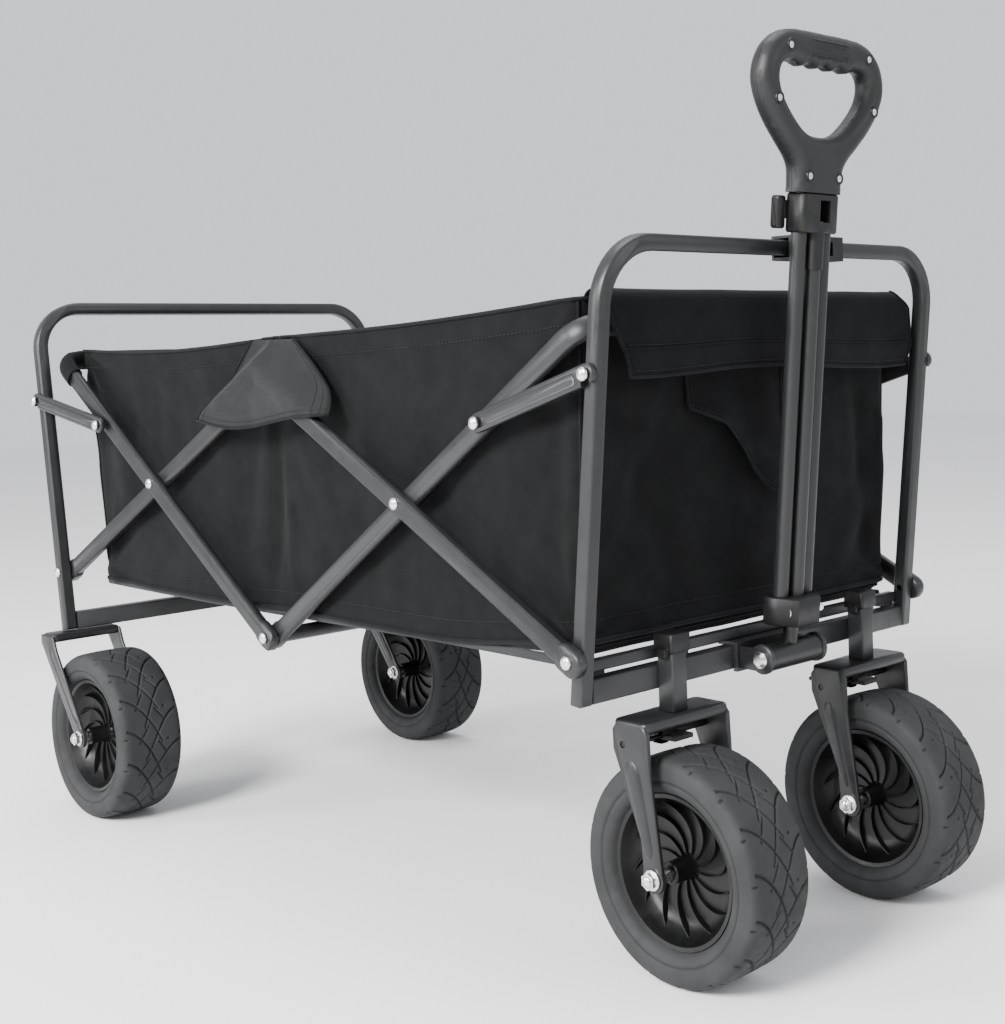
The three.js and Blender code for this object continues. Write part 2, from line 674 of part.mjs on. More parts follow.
const gripSolid = gripBody(0, 26, 7, 4);
const gripCavity = gripBody(2.6, 20, 4, 1);
const frontSpace = box(-120, 120, -40, -gap / 2, neckFoot - 20, neckFoot + 200);
const rearSpace = box(-120, 120, gap / 2, 40, neckFoot - 20, neckFoot + 200);
const gripBore = (x) => tubeAt(x, 0, rodRadius + gap, neckFoot - 9, neckFoot + rodEmbed + gap);
const gripBores = [gripBore(-tubeSpacing), gripBore(tubeSpacing)];
const gripShell = cut(gripSolid, gripCavity, ...gripBores);
add("grip_front_shell", onHandle(common(gripShell, frontSpace)), plastic);
add("grip_rear_shell", onHandle(common(gripShell, rearSpace)), plastic);

// Clip on the top of the front hoop that holds the folded-up handle.
const clipY = legY(frontTop, yFront, frontFoot, frontLean);
const clipShell = (x0, x1, wall) => box(x0, x1, clipY - tube / 2 - wall, clipY + tube / 2 + wall,
  frontTop - tube / 2 - wall, frontTop + tube / 2 + wall);
const tubeBack = handleY - (frontTop - handleZ) * Math.tan(handleLean);
const finger = box(27.5, 31.5, tubeBack - 5, clipY - tube / 2 - 2, frontTop - 9, frontTop + 4);
add("handle_clip", join(cut(clipShell(-2, 79, 4), clipShell(-9, 90, 1.3)), finger), plastic);

// ---- fabric, as plain closed solids

const bagStations = {
  frontTopY: yFront - 1, frontBottomY: yFront + 13, rearTopY: yRear - 13, rearBottomY: yFront + 862,
  frontTopZ: 596, midTopZ: 574, rearTopZ: 571,
};

function bagBody(inset, floor, over) {
  const s = bagStations;
  const geometry = new THREE.BoxGeometry(2, 2, 2, 1, 2, 1);
  const points = geometry.getAttribute("position");
  for (let i = 0; i < points.count; i += 1) {
    const along = points.getY(i);
    const up = points.getZ(i) > 0;
    const tops = [s.frontTopZ, s.midTopZ, s.rearTopZ];
    const ys = up ? [s.frontTopY, midY, s.rearTopY] : [s.frontBottomY, midY, s.rearBottomY];
    const k = Math.round(along) + 1;
    points.setX(i, points.getX(i) * (bagHalf - inset));
    points.setY(i, ys[k] - Math.round(along) * inset);
    points.setZ(i, up ? tops[k] + over : floor);
  }
  return geometry;
}

add("bag", cut(bagBody(0, bagFloor, 0), bagBody(bagWall, bagFloor + bagWall, 5)), cloth);

const matShape = roundedRect(2 * (bagHalf - bagWall - 4), 836, 12);
const mat = plate(matShape, 6, 1, 1, 3).translate(0, yFront + 13 + 424, bagFloor + bagWall + gap + 3);
add("floor_mat", mat, cloth);

// Side flaps over the top pivots.
const flapOut = outerLayer + barDepth / 2 + 4;
const flapApex = 577;
const flapFoot = 492;
const flapShape = outline([
  [midY - 122, flapFoot + 4], [midY - 60, flapFoot - 4], [midY, flapFoot - 9], [midY + 55, flapFoot - 7],
  [midY + 112, flapFoot - 2], [midY + 14, flapApex], [midY - 14, flapApex],
]);
const flapWhole = facingX(plate(flapShape, flapOut + 3 - bagHalf - gap, 0.5, 1, 1))
  .translate(-(flapOut + 3 + bagHalf + gap) / 2, 0, 0);
const flapRoom = box(-flapOut, -bagHalf + 9, midY - 200, midY + 200, flapFoot - 60, flapApex - 22);
const flap = cut(flapWhole, flapRoom);
add("side_flap_right", flap, cloth);
add("side_flap_left", mirrored(flap), cloth);

// Band of cloth that folds over the front bow and hangs down in front of the bag.
const bandTop = 603;
const bandBottom = 533;
const bandFront = yFront - 31;
const bandShape = outline([
  [bandFront, bandBottom], [bandFront + 3, bandBottom], [bandFront + 3, bandTop - 8],
  [yFront - 4, bandTop - 6], [yFront - 4, bandTop - 14], [yFront - 1.5, bandTop - 14],
  [yFront - 1.5, bandTop - 2], [bandFront + 4, bandTop], [bandFront, bandTop - 5],
]);
const band = facingX(plate(bandShape, 2 * (frontHalf - tube / 2 - 8), 0, 1, 1));
add("front_band", band, cloth);

export default wagon;
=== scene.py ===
"""Looks of a folding cloth wagon with a pull handle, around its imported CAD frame."""
import math

import bmesh
import bpy
import numpy as np
from mathutils import Matrix, Vector, noise


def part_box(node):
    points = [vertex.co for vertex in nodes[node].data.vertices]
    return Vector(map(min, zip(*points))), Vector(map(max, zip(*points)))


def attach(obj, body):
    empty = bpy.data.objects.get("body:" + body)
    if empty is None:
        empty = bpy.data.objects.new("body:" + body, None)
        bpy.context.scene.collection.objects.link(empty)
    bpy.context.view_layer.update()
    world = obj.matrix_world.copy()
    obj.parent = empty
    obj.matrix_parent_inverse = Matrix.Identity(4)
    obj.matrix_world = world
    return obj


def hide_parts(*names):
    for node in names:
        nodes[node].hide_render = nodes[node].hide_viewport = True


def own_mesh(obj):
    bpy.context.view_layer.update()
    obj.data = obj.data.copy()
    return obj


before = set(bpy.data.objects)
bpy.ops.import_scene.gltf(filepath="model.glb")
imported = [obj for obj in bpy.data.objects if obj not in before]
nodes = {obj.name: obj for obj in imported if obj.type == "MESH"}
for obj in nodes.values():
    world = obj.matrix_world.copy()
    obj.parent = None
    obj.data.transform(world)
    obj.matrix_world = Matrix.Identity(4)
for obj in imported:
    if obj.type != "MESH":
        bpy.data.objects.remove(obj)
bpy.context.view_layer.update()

SIDES = (("right", -1), ("left", 1))
MM = 0.001

# ---- main places, in metres, from the CAD nodes' boxes


def middle(node):
    low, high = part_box(node)
    return (low + high) / 2


handle_pivot = Vector((0, middle("handle_pivot_bolt").y, middle("handle_pivot_bolt").z))
HANDLE_LEAN = math.radians(5.5)
GRIP_FOOT = 0.4293  # from the pivot to the grip's foot, along the handle

# ---- shader helpers


class Nodes:
    """A node tree of one material, with short calls for the nodes that it uses."""

    def __init__(self, name):
        self.material = bpy.data.materials.new(name)
        self.material.use_nodes = True
        self.tree = self.material.node_tree
        self.shader = self.tree.nodes["Principled BSDF"]
        self.coordinates = self.tree.nodes.new("ShaderNodeTexCoord").outputs["Object"]

    def link(self, output, socket):
        self.tree.links.new(output, socket)

    def new(self, kind, **settings):
        node = self.tree.nodes.new("ShaderNode" + kind)
        for key, value in settings.items():
            if key in node.inputs:
                node.inputs[key].default_value = value
            else:
                setattr(node, key, value)
        return node

    def scaled(self, scale):
        mapping = self.new("Mapping")
        mapping.inputs["Scale"].default_value = scale
        self.link(self.coordinates, mapping.inputs["Vector"])
        return mapping.outputs["Vector"]

    def noise(self, scale, detail=3.0, vector=None):
        node = self.new("TexNoise", Scale=scale, Detail=detail)
        self.link(vector or self.coordinates, node.inputs["Vector"])
        return node.outputs["Fac"]

    def ramp(self, value, low, high, start=0.0, end=1.0):
        node = self.new("MapRange")
        for socket, limit in (("From Min", low), ("From Max", high), ("To Min", start), ("To Max", end)):
            node.inputs[socket].default_value = limit
        self.link(value, node.inputs["Value"])
        return node.outputs["Result"]

    def math(self, kind, first, second=None):
        node = self.new("Math", operation=kind)
        for socket, value in zip(node.inputs, (first, second)):
            if isinstance(value, (int, float)):
                socket.default_value = value
            elif value is not None:
                self.link(value, socket)
        return node.outputs["Value"]

    def mix(self, factor, first, second):
        node = self.new("Mix", data_type="RGBA")
        self.link(factor, node.inputs[0])
        for socket, value in ((node.inputs[6], first), (node.inputs[7], second)):
            if isinstance(value, tuple):
                socket.default_value = (*value, 1)
            else:
                self.link(value, socket)
        return node.outputs[2]

    def bump(self, height, distance, strength=1.0, under=None):
        node = self.new("Bump", Strength=strength, Distance=distance)
        self.link(height, node.inputs["Height"])
        if under:
            self.link(under, node.inputs["Normal"])
        self.link(node.outputs["Normal"], self.shader.inputs["Normal"])
        return node.outputs["Normal"]

    def coat(self, colour, scale, low, high):
        """Sets the base colour, and a roughness that varies between two values."""
        self.link(colour, self.shader.inputs["Base Color"])
        self.link(self.ramp(self.noise(scale, 3), 0.3, 0.7, low, high), self.shader.inputs["Roughness"])

    def set(self, **values):
        for key, value in values.items():
            self.shader.inputs[key.replace("_", " ")].default_value = value


def grey(level, tint=1.03):
    return (level / tint, level, level * tint)


def painted_metal(name, dark, light, rough):
    """Powder coat: fine orange peel, soft mottling, and slightly polished edges."""
    n = Nodes(name)
    mottled = n.ramp(n.noise(35, 4), 0.35, 0.65)
    worn = n.ramp(n.new("NewGeometry").outputs["Pointiness"], 0.52, 0.6)
    base = n.mix(mottled, grey(dark), grey(light))
    n.coat(n.mix(worn, base, grey(light * 1.7)), 60, rough - 0.05, rough + 0.07)
    n.bump(n.noise(1500, 2), 0.0003, 0.22)
    n.set(Specular_IOR_Level=0.36)
    return n.material


def moulded_plastic(name, dark, light, rough, grain=2600.0):
    """Injection-moulded plastic with a fine spark texture."""
    n = Nodes(name)
    mottled = n.ramp(n.noise(28, 4), 0.35, 0.65)
    n.coat(n.mix(mottled, grey(dark), grey(light)), 90, rough - 0.06, rough + 0.08)
    n.bump(n.noise(grain, 2), 0.0004, 0.3)
    n.set(Specular_IOR_Level=0.3)
    return n.material


def bright_zinc(name):
    """Zinc-plated steel: bright, slightly cloudy, with fine turning marks."""
    n = Nodes(name)
    cloudy = n.ramp(n.noise(220, 4), 0.35, 0.65)
    n.coat(n.mix(cloudy, (0.62, 0.63, 0.64), (0.82, 0.82, 0.8)), 400, 0.2, 0.38)
    n.bump(n.noise(1, 3, n.scaled((300, 2500, 2500))), 0.0002, 0.2)
    n.set(Metallic=1.0)
    return n.material


def tyre_rubber(name):
    """Foam-filled tyre rubber: chalky grey with dusty patches, and painted shade that darkens the grooves."""
    n = Nodes(name)
    dusty = n.ramp(n.noise(22, 5), 0.35, 0.7)
    # painted shade: hollows such as the tread grooves are darkened towards near black
    groove_shade = n.ramp(n.new("NewGeometry").outputs["Pointiness"], 0.5, 0.44)
    base = n.mix(dusty, grey(0.020), grey(0.030))
    n.coat(n.mix(groove_shade, base, grey(0.008)), 120, 0.66, 0.82)
    n.bump(n.noise(1900, 3), 0.0005, 0.3)
    n.set(Specular_IOR_Level=0.22)
    return n.material


def woven_cloth(name, dark, light, pitch=0.0011, fuzz=0.035):
    """Oxford weave from two crossed sets of waves, with worn lighter patches and sheen."""
    n = Nodes(name)
    weave = None
    for direction in ("X", "Y", "Z"):
        wave = n.new("TexWave", wave_type="BANDS", bands_direction=direction, Scale=0.314 / pitch / 2)
        n.link(n.coordinates, wave.inputs["Vector"])
        weave = n.math("MULTIPLY", weave, wave.outputs["Fac"]) if weave else wave.outputs["Fac"]
    threads = n.math("POWER", weave, 0.4)
    patches = n.ramp(n.noise(7, 5), 0.35, 0.68)
    slubs = n.ramp(n.noise(1, 3, n.scaled((60, 60, 900))), 0.4, 0.65)
    base = n.mix(patches, grey(dark, 1.04), grey(light, 1.04))
    flecked = n.mix(n.math("MULTIPLY", slubs, 0.35), base, grey(light * 1.5, 1.04))
    n.coat(n.mix(n.math("MULTIPLY", threads, 0.5), flecked, grey(light * 1.35)), 40, 0.72, 0.9)
    creases = n.bump(n.noise(16, 5), 0.004, 0.22)
    n.bump(threads, 0.0004, 0.45, creases)
    n.set(Sheen_Weight=fuzz, Sheen_Roughness=0.5, Specular_IOR_Level=0.10)
    n.shader.inputs["Sheen Tint"].default_value = (0.75, 0.8, 0.85, 1)
    return n.material


PAINT = painted_metal("frame_paint", 0.0078, 0.0115, 0.36)
PAINT_TUBE = painted_metal("handle_paint", 0.005, 0.0075, 0.34)
PLASTIC = moulded_plastic("black_plastic", 0.0035, 0.005, 0.42)
GRIP_PLASTIC = moulded_plastic("grip_plastic", 0.009, 0.012, 0.42)
RIM_PLASTIC = moulded_plastic("rim_plastic", 0.002, 0.0032, 0.34)
RUBBER = tyre_rubber("tyre_rubber")
ZINC = bright_zinc("bright_zinc")
CLOTH = woven_cloth("bag_cloth", 0.0018, 0.0030)
FLAP_CLOTH = woven_cloth("flap_cloth", 0.0080, 0.0115, fuzz=0.08)
BINDING = woven_cloth("binding_tape", 0.0035, 0.0055, 0.0008)
STRIP = woven_cloth("floor_edge_tape", 0.02, 0.03, 0.0009)
THREAD = moulded_plastic("sewing_thread", 0.006, 0.009, 0.7, 4000.0)

# ---- mesh helpers


def mesh_of(name, points, faces):
    mesh = bpy.data.meshes.new(name)
    mesh.from_pydata([tuple(p) for p in points], [], faces)
    return mesh


def in_scene(name, data):
    obj = bpy.data.objects.new(name, data)
    bpy.context.scene.collection.objects.link(obj)
    return obj


def mesh_piece(name, mesh, material, body, location=(0, 0, 0), turn=0.0):
    """A named piece around a mesh, turned about Z, that rides on a CAD body."""
    obj = in_scene(name, mesh)
    if not mesh.materials:
        mesh.materials.append(material)
    obj.location = location
    obj.rotation_euler = (0, 0, turn)
    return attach(obj, body)


def piece(name, points, faces, material, body, smooth_angle):
    """A new named piece that rides on a CAD body."""
    mesh = mesh_of(name, points, faces)
    mesh.validate()
    soften(mesh, smooth_angle)
    return mesh_piece(name, mesh, material, body)


def soften(mesh, angle):
    """Smooth shading, with edges sharper than angle kept sharp."""
    bm = bmesh.new()
    bm.from_mesh(mesh)
    bmesh.ops.recalc_face_normals(bm, faces=bm.faces)
    for face in bm.faces:
        face.smooth = True
    for edge in bm.edges:
        edge.smooth = len(edge.link_faces) != 2 or edge.calc_face_angle(0) < math.radians(angle)
    bm.to_mesh(mesh)
    bm.free()


def grid_faces(rows, columns, wrap_rows=False, wrap_columns=False, start=0):
    """Faces of a grid whose points are row by row."""
    faces = []
    for i in range(rows if wrap_rows else rows - 1):
        for j in range(columns if wrap_columns else columns - 1):
            k, m = (i + 1) % rows, (j + 1) % columns
            faces.append((start + i * columns + j, start + i * columns + m, start + k * columns + m,
                          start + k * columns + j))
    return faces


def slab_faces(rows, columns):
    """Faces of two grids, one above the other and joined along their border, and the border's points."""
    n = rows * columns
    faces = grid_faces(rows, columns) + [tuple(reversed(f)) for f in grid_faces(rows, columns, start=n)]
    border = (list(range(columns)) + [i * columns + columns - 1 for i in range(1, rows)]
              + [(rows - 1) * columns + j for j in range(columns - 2, -1, -1)]
              + [i * columns for i in range(rows - 2, 0, -1)])
    faces += [(a, b, b + n, a + n) for a, b in zip(border, border[1:] + border[:1])]
    return faces, border


def distances(points):
    """The distance along a line of points, at each of them."""
    return np.concatenate([[0], np.cumsum(np.linalg.norm(np.diff(points, axis=0), axis=1))])


def spline(points, count):
    """Evenly spaced points on the Catmull-Rom curve through the given ones."""
    pts = [np.array(p, float) for p in points]
    last = len(pts) - 1
    fine = []
    for i in range(last):
        a, b, c, d = pts[max(i - 1, 0)], pts[i], pts[i + 1], pts[min(i + 2, last)]
        for t in np.linspace(0, 1, 12, endpoint=False):
            fine.append(0.5 * (2 * b + (c - a) * t + (2 * a - 5 * b + 4 * c - d) * t**2
                               + (3 * b - a - 3 * c + d) * t**3))
    fine = np.array(fine + [pts[-1]])
    along = distances(fine)
    wanted = np.linspace(0, along[-1], count)
    return np.stack([np.interp(wanted, along, fine[:, k]) for k in range(fine.shape[1])], axis=1)


def cord_mesh(points, radius, sides=6, closed=False, flat=1.0, normal=None):
    """Points and faces of a thin tube along points. A flat one is narrower along normal."""
    pts = [Vector(p) for p in points]
    n = len(pts)
    rings, side = [], None
    for i, p in enumerate(pts):
        ahead = pts[(i + 1) % n] if closed or i < n - 1 else p
        behind = pts[i - 1] if closed or i else p
        tangent = (ahead - behind).normalized()
        up = Vector(normal) if normal is not None else (side or tangent.orthogonal())
        side = (up - tangent * up.dot(tangent)).normalized()
        across = tangent.cross(side)
        for k in range(sides):
            a = 2 * math.pi * k / sides
            rings.append(p + side * (math.cos(a) * radius * flat) + across * (math.sin(a) * radius))
    faces = grid_faces(n, sides, wrap_rows=closed, wrap_columns=True)
    if not closed:
        faces += [tuple(range(sides)), tuple(range((n - 1) * sides, n * sides))]
    return rings, faces


def joined(parts):
    """One list of points and faces from several."""
    points, faces = [], []
    for more, shape in parts:
        start = len(points)
        points += list(more)
        faces += [tuple(i + start for i in face) for face in shape]
    return points, faces


def turned(profile, steps, axis_point=(0, 0, 0), closed=False):
    """Points and faces of a profile of (radius, x) turned about the X axis through axis_point."""
    points = []
    for radius, x in profile:
        for k in range(steps):
            a = 2 * math.pi * k / steps
            points.append(Vector((x, radius * math.cos(a), radius * math.sin(a))) + Vector(axis_point))
    return points, grid_faces(len(profile), steps, wrap_rows=closed, wrap_columns=True)


def capped(profile, steps, axis_point=(0, 0, 0)):
    """A turned profile whose first ring is closed by a face."""
    points, faces = turned(profile, steps, axis_point)
    return points, faces + [tuple(range(steps))]


def dress(names, material, bevel, segments=2, angle=32.0):
    """Gives CAD nodes their material and small rounded edges, without touching their vertices."""
    for name in names:
        obj = nodes[name]
        mesh = obj.data
        mesh.materials.clear()
        mesh.materials.append(material)
        if "custom_normal" in mesh.attributes:
            mesh.attributes.remove(mesh.attributes["custom_normal"])
        mesh.polygons.foreach_set("use_smooth", [True] * len(mesh.polygons))
        weld = obj.modifiers.new("weld", "WELD")
        weld.merge_threshold = 1e-5
        flat = obj.modifiers.new("flat", "DECIMATE")
        flat.decimate_type = "DISSOLVE"
        flat.angle_limit = math.radians(0.5)
        if bevel:
            edge = obj.modifiers.new("edges", "BEVEL")
            edge.width = bevel
            edge.segments = segments
            edge.limit_method = "ANGLE"
            edge.angle_limit = math.radians(angle)
            edge.harden_normals = True
            edge.miter_outer = "MITER_ARC"
        else:
            split = obj.modifiers.new("edges", "EDGE_SPLIT")
            split.split_angle = math.radians(angle)


def both(pattern):
    return [pattern.format(side) for side, _ in SIDES]


dress(["front_hoop", "rear_hoop"], PAINT, 0.0018, 3, 50)
dress(["front_bow", "rear_bow", *both("front_bar_{}"), *both("rear_bar_{}")], PAINT, 0.0014, 3, 50)
dress(["front_lower_rail", "front_floor_rail", "rear_lower_rail", "handle_bracket"], PAINT, 0.0008, 2, 50)
dress([*both("caster_post_{}"), *both("front_stay_{}"), *both("rear_stay_{}")], PAINT, 0.0006, 2, 50)
dress([*both("front_fork_{}"), *both("rear_fork_{}")], PAINT, 0.0008, 2, 50)
dress(["centre_cross_tube"], PAINT, 0)
dress(["handle_foot", "handle_tube_right", "handle_tube_left", "handle_tube_middle"], PAINT_TUBE, 0)
dress(["handle_pivot_bolt", "inner_rod_right", "inner_rod_left"], ZINC, 0)
dress([f"{end}_{side}_axle" for end in ("front", "rear") for side, _ in SIDES], ZINC, 0.0004, 2, 50)
dress(["handle_block", "handle_collar", "handle_clip", "release_button", *both("caster_cap_{}"),
       *both("brake_pedal_{}")], PLASTIC, 0.0007, 2, 50)

# ---- wheels


# half of the tyre's outside, as (radius, x) in millimetres, from bead to crown
TYRE_HALF = [(68, 29), (71, 34), (76, 37), (84, 38.2), (91, 38), (95, 36.6), (97.6, 33.6), (98.9, 29),
             (99.5, 20), (99.9, 10), (100, 0)]


def tread_depth(around, across):
    """Depth of the tread at an angle and a distance from the crown line, in millimetres."""
    pitch = 2 * math.pi / 16
    depth = np.zeros_like(around)

    def groove(offset, width, height):
        away = np.abs((offset + pitch / 2) % pitch - pitch / 2) * 100
        return height * np.clip(1 - (away / width) ** 2, 0, 1)

    for sense in (-1, 1):
        inward = 1 - sense * across / 35.0
        shift = 0.5 * pitch * (sense > 0)
        bend = 0.36 * np.clip(inward, 0, 2) ** 1.8
        bent = groove(around - bend + shift, 2.0, 2.2)
        depth = np.maximum(depth, bent * ((inward > 0.03) & (inward < 1.3)))
        slanted = around + 0.5 * inward + shift
        depth = np.maximum(depth, groove(slanted, 1.7, 1.8) * ((inward > 0.55) & (inward < 0.86)))
    notch = (np.abs(across) > 32) & (np.abs(across) < 37)
    depth = np.maximum(depth, groove(around + 0.25 * pitch, 1.7, 1.7) * notch)
    dots = (np.abs(across) > 16) & (np.abs(across) < 18.5)
    return np.maximum(depth, groove(around + 0.1 * pitch, 1.6, 1.5) * dots)


def tyre_mesh():
    section = spline(TYRE_HALF + [(r, -x) for r, x in reversed(TYRE_HALF[:-1])], 104)
    lengths = distances(section)
    across = lengths - lengths[-1] / 2
    tangent = np.gradient(section, axis=0)
    outward = np.stack([-tangent[:, 1], tangent[:, 0]], axis=1)
    outward /= np.linalg.norm(outward, axis=1)[:, None]
    outward *= np.sign(outward[len(section) // 2, 0])
    steps = 600
    turn = np.linspace(0, 2 * math.pi, steps, endpoint=False)
    around, position = np.meshgrid(turn, across, indexing="ij")
    depth = tread_depth(around, position)
    ring = np.abs(np.abs(position) - (across[-1] - 15))
    depth = depth + 1.2 * np.clip(1 - (ring / 1.6) ** 4, 0, 1)
    radius = section[None, :, 0] - depth * outward[None, :, 0]
    x = section[None, :, 1] - depth * outward[None, :, 1]
    points = np.stack([x, radius * np.cos(around), radius * np.sin(around)], axis=2) * MM
    faces = grid_faces(steps, len(section), wrap_rows=True, wrap_columns=True)
    mesh = mesh_of("tyre", points.reshape(-1, 3), faces)
    soften(mesh, 55)
    return mesh


def rim_mesh():
    """Deep dished rim with a small hub and curved fins on both faces."""
    side = [(6.2, 33), (8.2, 34), (9.6, 33.2), (10.4, 12), (12.5, 9), (18, 8.2), (45, 8.2), (51, 9.6),
            (56, 14), (60.5, 22.5), (63.8, 29.5), (67.6, 30.5), (67.6, 27)]
    profile = [(r * MM, x * MM) for r, x in side + [(r, -x) for r, x in reversed(side)]]
    parts, fins = [turned(profile, 96, closed=True)], 13
    for face in (-1, 1):
        for k in range(fins):
            start = 2 * math.pi * k / fins
            rows = []
            for t in np.linspace(0, 1, 12):
                radius = 11 + t * 48
                angle = start + face * (0.1 * t + 0.62 * t**1.7)
                height = 11.2 + 8.0 * t**3
                half = (0.75 + 0.2 * t) / radius
                ring = []
                for x, wide in ((7.4, 1.5), (height - 1, 1.0), (height, 0.45)):
                    for sense in (1, -1):
                        a = angle + sense * half * wide
                        ring.append(Vector((face * x, radius * math.cos(a), radius * math.sin(a))) * MM)
                rows += [ring[i] for i in (0, 2, 4, 5, 3, 1)]
            faces = grid_faces(12, 6, wrap_columns=True) + [tuple(range(6)), tuple(range(66, 72))]
            parts.append((rows, faces))
    mesh = mesh_of("rim", *joined(parts))
    soften(mesh, 35)
    return mesh


TYRE, RIM = tyre_mesh(), rim_mesh()
for end in ("front", "rear"):
    for side, sign in SIDES:
        for kind, mesh, material in (("tyre", TYRE, RUBBER), ("rim", RIM, RIM_PLASTIC)):
            node = f"{end}_{side}_{kind}"
            wheel_part = mesh_piece(f"{node}_detailed", mesh, material, f"{end}_wheel_{side}",
                                    middle(f"{end}_{side}_axle"), math.pi if sign > 0 else 0)
            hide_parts(node)

# ---- rivets, bolts and screws


def dome(radius, height):
    """Profile of a domed head on the plane x = 0, rising towards +x."""
    profile = [(radius, 0)]
    for t in np.linspace(0, 1, 6):
        a = t * math.pi / 2
        profile.append((max(radius * math.cos(a), 1e-5), height * (0.25 + 0.75 * math.sin(a))))
    return profile


RIVET_RADIUS, RIVET_HEIGHT = 0.0060, 0.0034
MID_Y, CROSS_Z, BOTTOM_Z, PIVOT_Z = 0.03809, 0.41325, 0.260, 0.2915
FRONT_CROSS_Y, REAR_CROSS_Y = -0.19465, 0.27084
FRONT_PIVOT_Y, REAR_PIVOT_Y = -0.4274, 0.50358
for side, sign in SIDES:
    spots = {
        "front_bars": [(0.2571, FRONT_PIVOT_Y, PIVOT_Z), (0.2554, FRONT_CROSS_Y, CROSS_Z)],
        "rear_bars": [(0.2601, REAR_PIVOT_Y, PIVOT_Z)],
        "rear_bow": [(0.2554, REAR_CROSS_Y, CROSS_Z), (0.2687, 0.37217, 0.47998),
                     (0.2562, MID_Y, BOTTOM_Z)],
        "front_bow": [(0.2534, -0.31228, 0.49070)],
        "frame": [(0.2534, -0.45278, 0.533)],
        "rear_frame": [(0.2687, 0.53609, 0.509)],
    }
    for body, places in spots.items():
        profile = [(r, x * sign) for r, x in dome(RIVET_RADIUS, RIVET_HEIGHT)]
        rivets = [capped(profile, 20, (sign * x, y, z)) for x, y, z in places]
        piece(f"{body}_{side}_rivets", *joined(rivets), ZINC, body, 40)

# ---- cloth: bag shell

BAG_HALF = 0.2298
FLOOR_Z, WALL_TOP = 0.288, 0.596
CORNER = 0.016
BAG_FRONT = (-0.4102, -0.4242)
BAG_REAR = (0.4388, 0.4895)
CLOTH_THICK = 0.0013
BAG_SPAN = 0.9137


def smooth(t):
    t = min(1.0, max(0.0, t))
    return t * t * (3 - 2 * t)


def swell(x, y, z, scale, seed):
    return noise.noise(Vector((x * scale, y * scale, z * scale)) + Vector((seed, 2.7 * seed, 0)))


def rim_height(t):
    """Height of the bag's top edge at t along it, 0 at the front and 1 at the rear."""
    middle_t, front_z, middle_z, rear_z = 0.512, 0.5975, 0.576, 0.5715
    if t < middle_t:
        k = t / middle_t
        return front_z + (middle_z - front_z) * k - 0.004 * math.sin(math.pi * k)
    k = (t - middle_t) / (1 - middle_t)
    return middle_z + (rear_z - middle_z) * k - 0.0075 * math.sin(math.pi * k)


def hem_height(t):
    front = 0.0125 * smooth(1 - t / 0.22)
    sag = 0.003 * math.sin(math.pi * min(1, t / 0.5)) + 0.004 * math.sin(math.pi * max(0, t - 0.5) / 0.5)
    return FLOOR_Z + front - sag


def fan(y, z, y0, z0, count, phase, reach, depth):
    """Tension folds that spread from a point."""
    dy, dz = y - y0, z - z0
    away = math.hypot(dy, dz)
    spread = math.sin(count * math.atan2(dz, dy) + phase)
    return depth * spread * smooth(away / 0.03) * math.exp(-away / reach)


def crease(y, z, start, end, width, depth):
    """One soft fold along the line from start to end."""
    a, b, p = Vector(start), Vector(end), Vector((y, z))
    k = min(1.0, max(0.0, (p - a).dot(b - a) / (b - a).length_squared))
    away = (p - a - (b - a) * k).length
    return depth * math.exp(-((away / width) ** 2)) * (0.35 + 0.65 * math.sin(math.pi * (0.15 + 0.7 * k)))


SIDE_CREASES = [
    ((0.050, 0.50), (0.058, 0.295), 0.011, -0.006), ((0.030, 0.40), (0.022, 0.30), 0.008, 0.0035),
    ((0.09, 0.49), (0.12, 0.33), 0.02, -0.004), ((0.43, 0.55), (0.30, 0.40), 0.03, -0.005),
    ((0.40, 0.47), (0.33, 0.30), 0.025, 0.004), ((-0.05, 0.52), (-0.12, 0.33), 0.03, -0.004),
    ((-0.28, 0.33), (-0.21, 0.47), 0.024, -0.005), ((-0.33, 0.56), (-0.22, 0.38), 0.03, 0.0035),
    ((-0.39, 0.56), (-0.385, 0.32), 0.014, -0.004), ((0.20, 0.56), (0.16, 0.46), 0.02, 0.004),
    ((-0.20, 0.31), (-0.08, 0.345), 0.014, 0.003), ((0.27, 0.31), (0.16, 0.36), 0.016, 0.003),
]
END_CREASES = [
    ((-0.19, 0.52), (-0.10, 0.33), 0.022, -0.006), ((-0.13, 0.54), (-0.20, 0.40), 0.018, 0.005),
    ((0.17, 0.50), (0.19, 0.34), 0.015, -0.007), ((0.20, 0.42), (0.12, 0.31), 0.016, 0.005),
    ((0.05, 0.50), (0.09, 0.36), 0.03, -0.004), ((-0.04, 0.42), (0.02, 0.31), 0.03, 0.004),
    ((0.215, 0.47), (0.205, 0.33), 0.009, 0.006), ((-0.21, 0.36), (-0.14, 0.31), 0.014, 0.004),
]


def side_swell(y, z, v, seed):
    """How far a side wall stands out from its plane, in metres; out is positive."""
    held = math.sin(math.pi * min(1, max(0, v)))
    out = -0.0035 * held - 0.002
    out += held * (0.004 * swell(seed, y, z * 0.5, 9, seed)
                   + 0.0022 * swell(seed, y, z * 0.6, 21, seed + 3))
    out += fan(y, z, 0.038, 0.556, 9, 0.4 * seed, 0.10, 0.0042)
    out += fan(y, z, -0.41, 0.30, 8, 1.3, 0.08, 0.0035) + fan(y, z, 0.43, 0.30, 7, 0.5 * seed, 0.09, 0.004)
    out += fan(y, z, -0.42, 0.59, 7, 0.2, 0.08, 0.0035) + fan(y, z, 0.47, 0.565, 8, seed, 0.08, 0.004)
    shift = 0.013 * (seed - 1)
    for start, end, width, depth in SIDE_CREASES:
        out += crease(y - shift, z, start, end, width, depth) * (0.3 + 0.7 * held)
    return max(-0.013, min(0.0010, out))


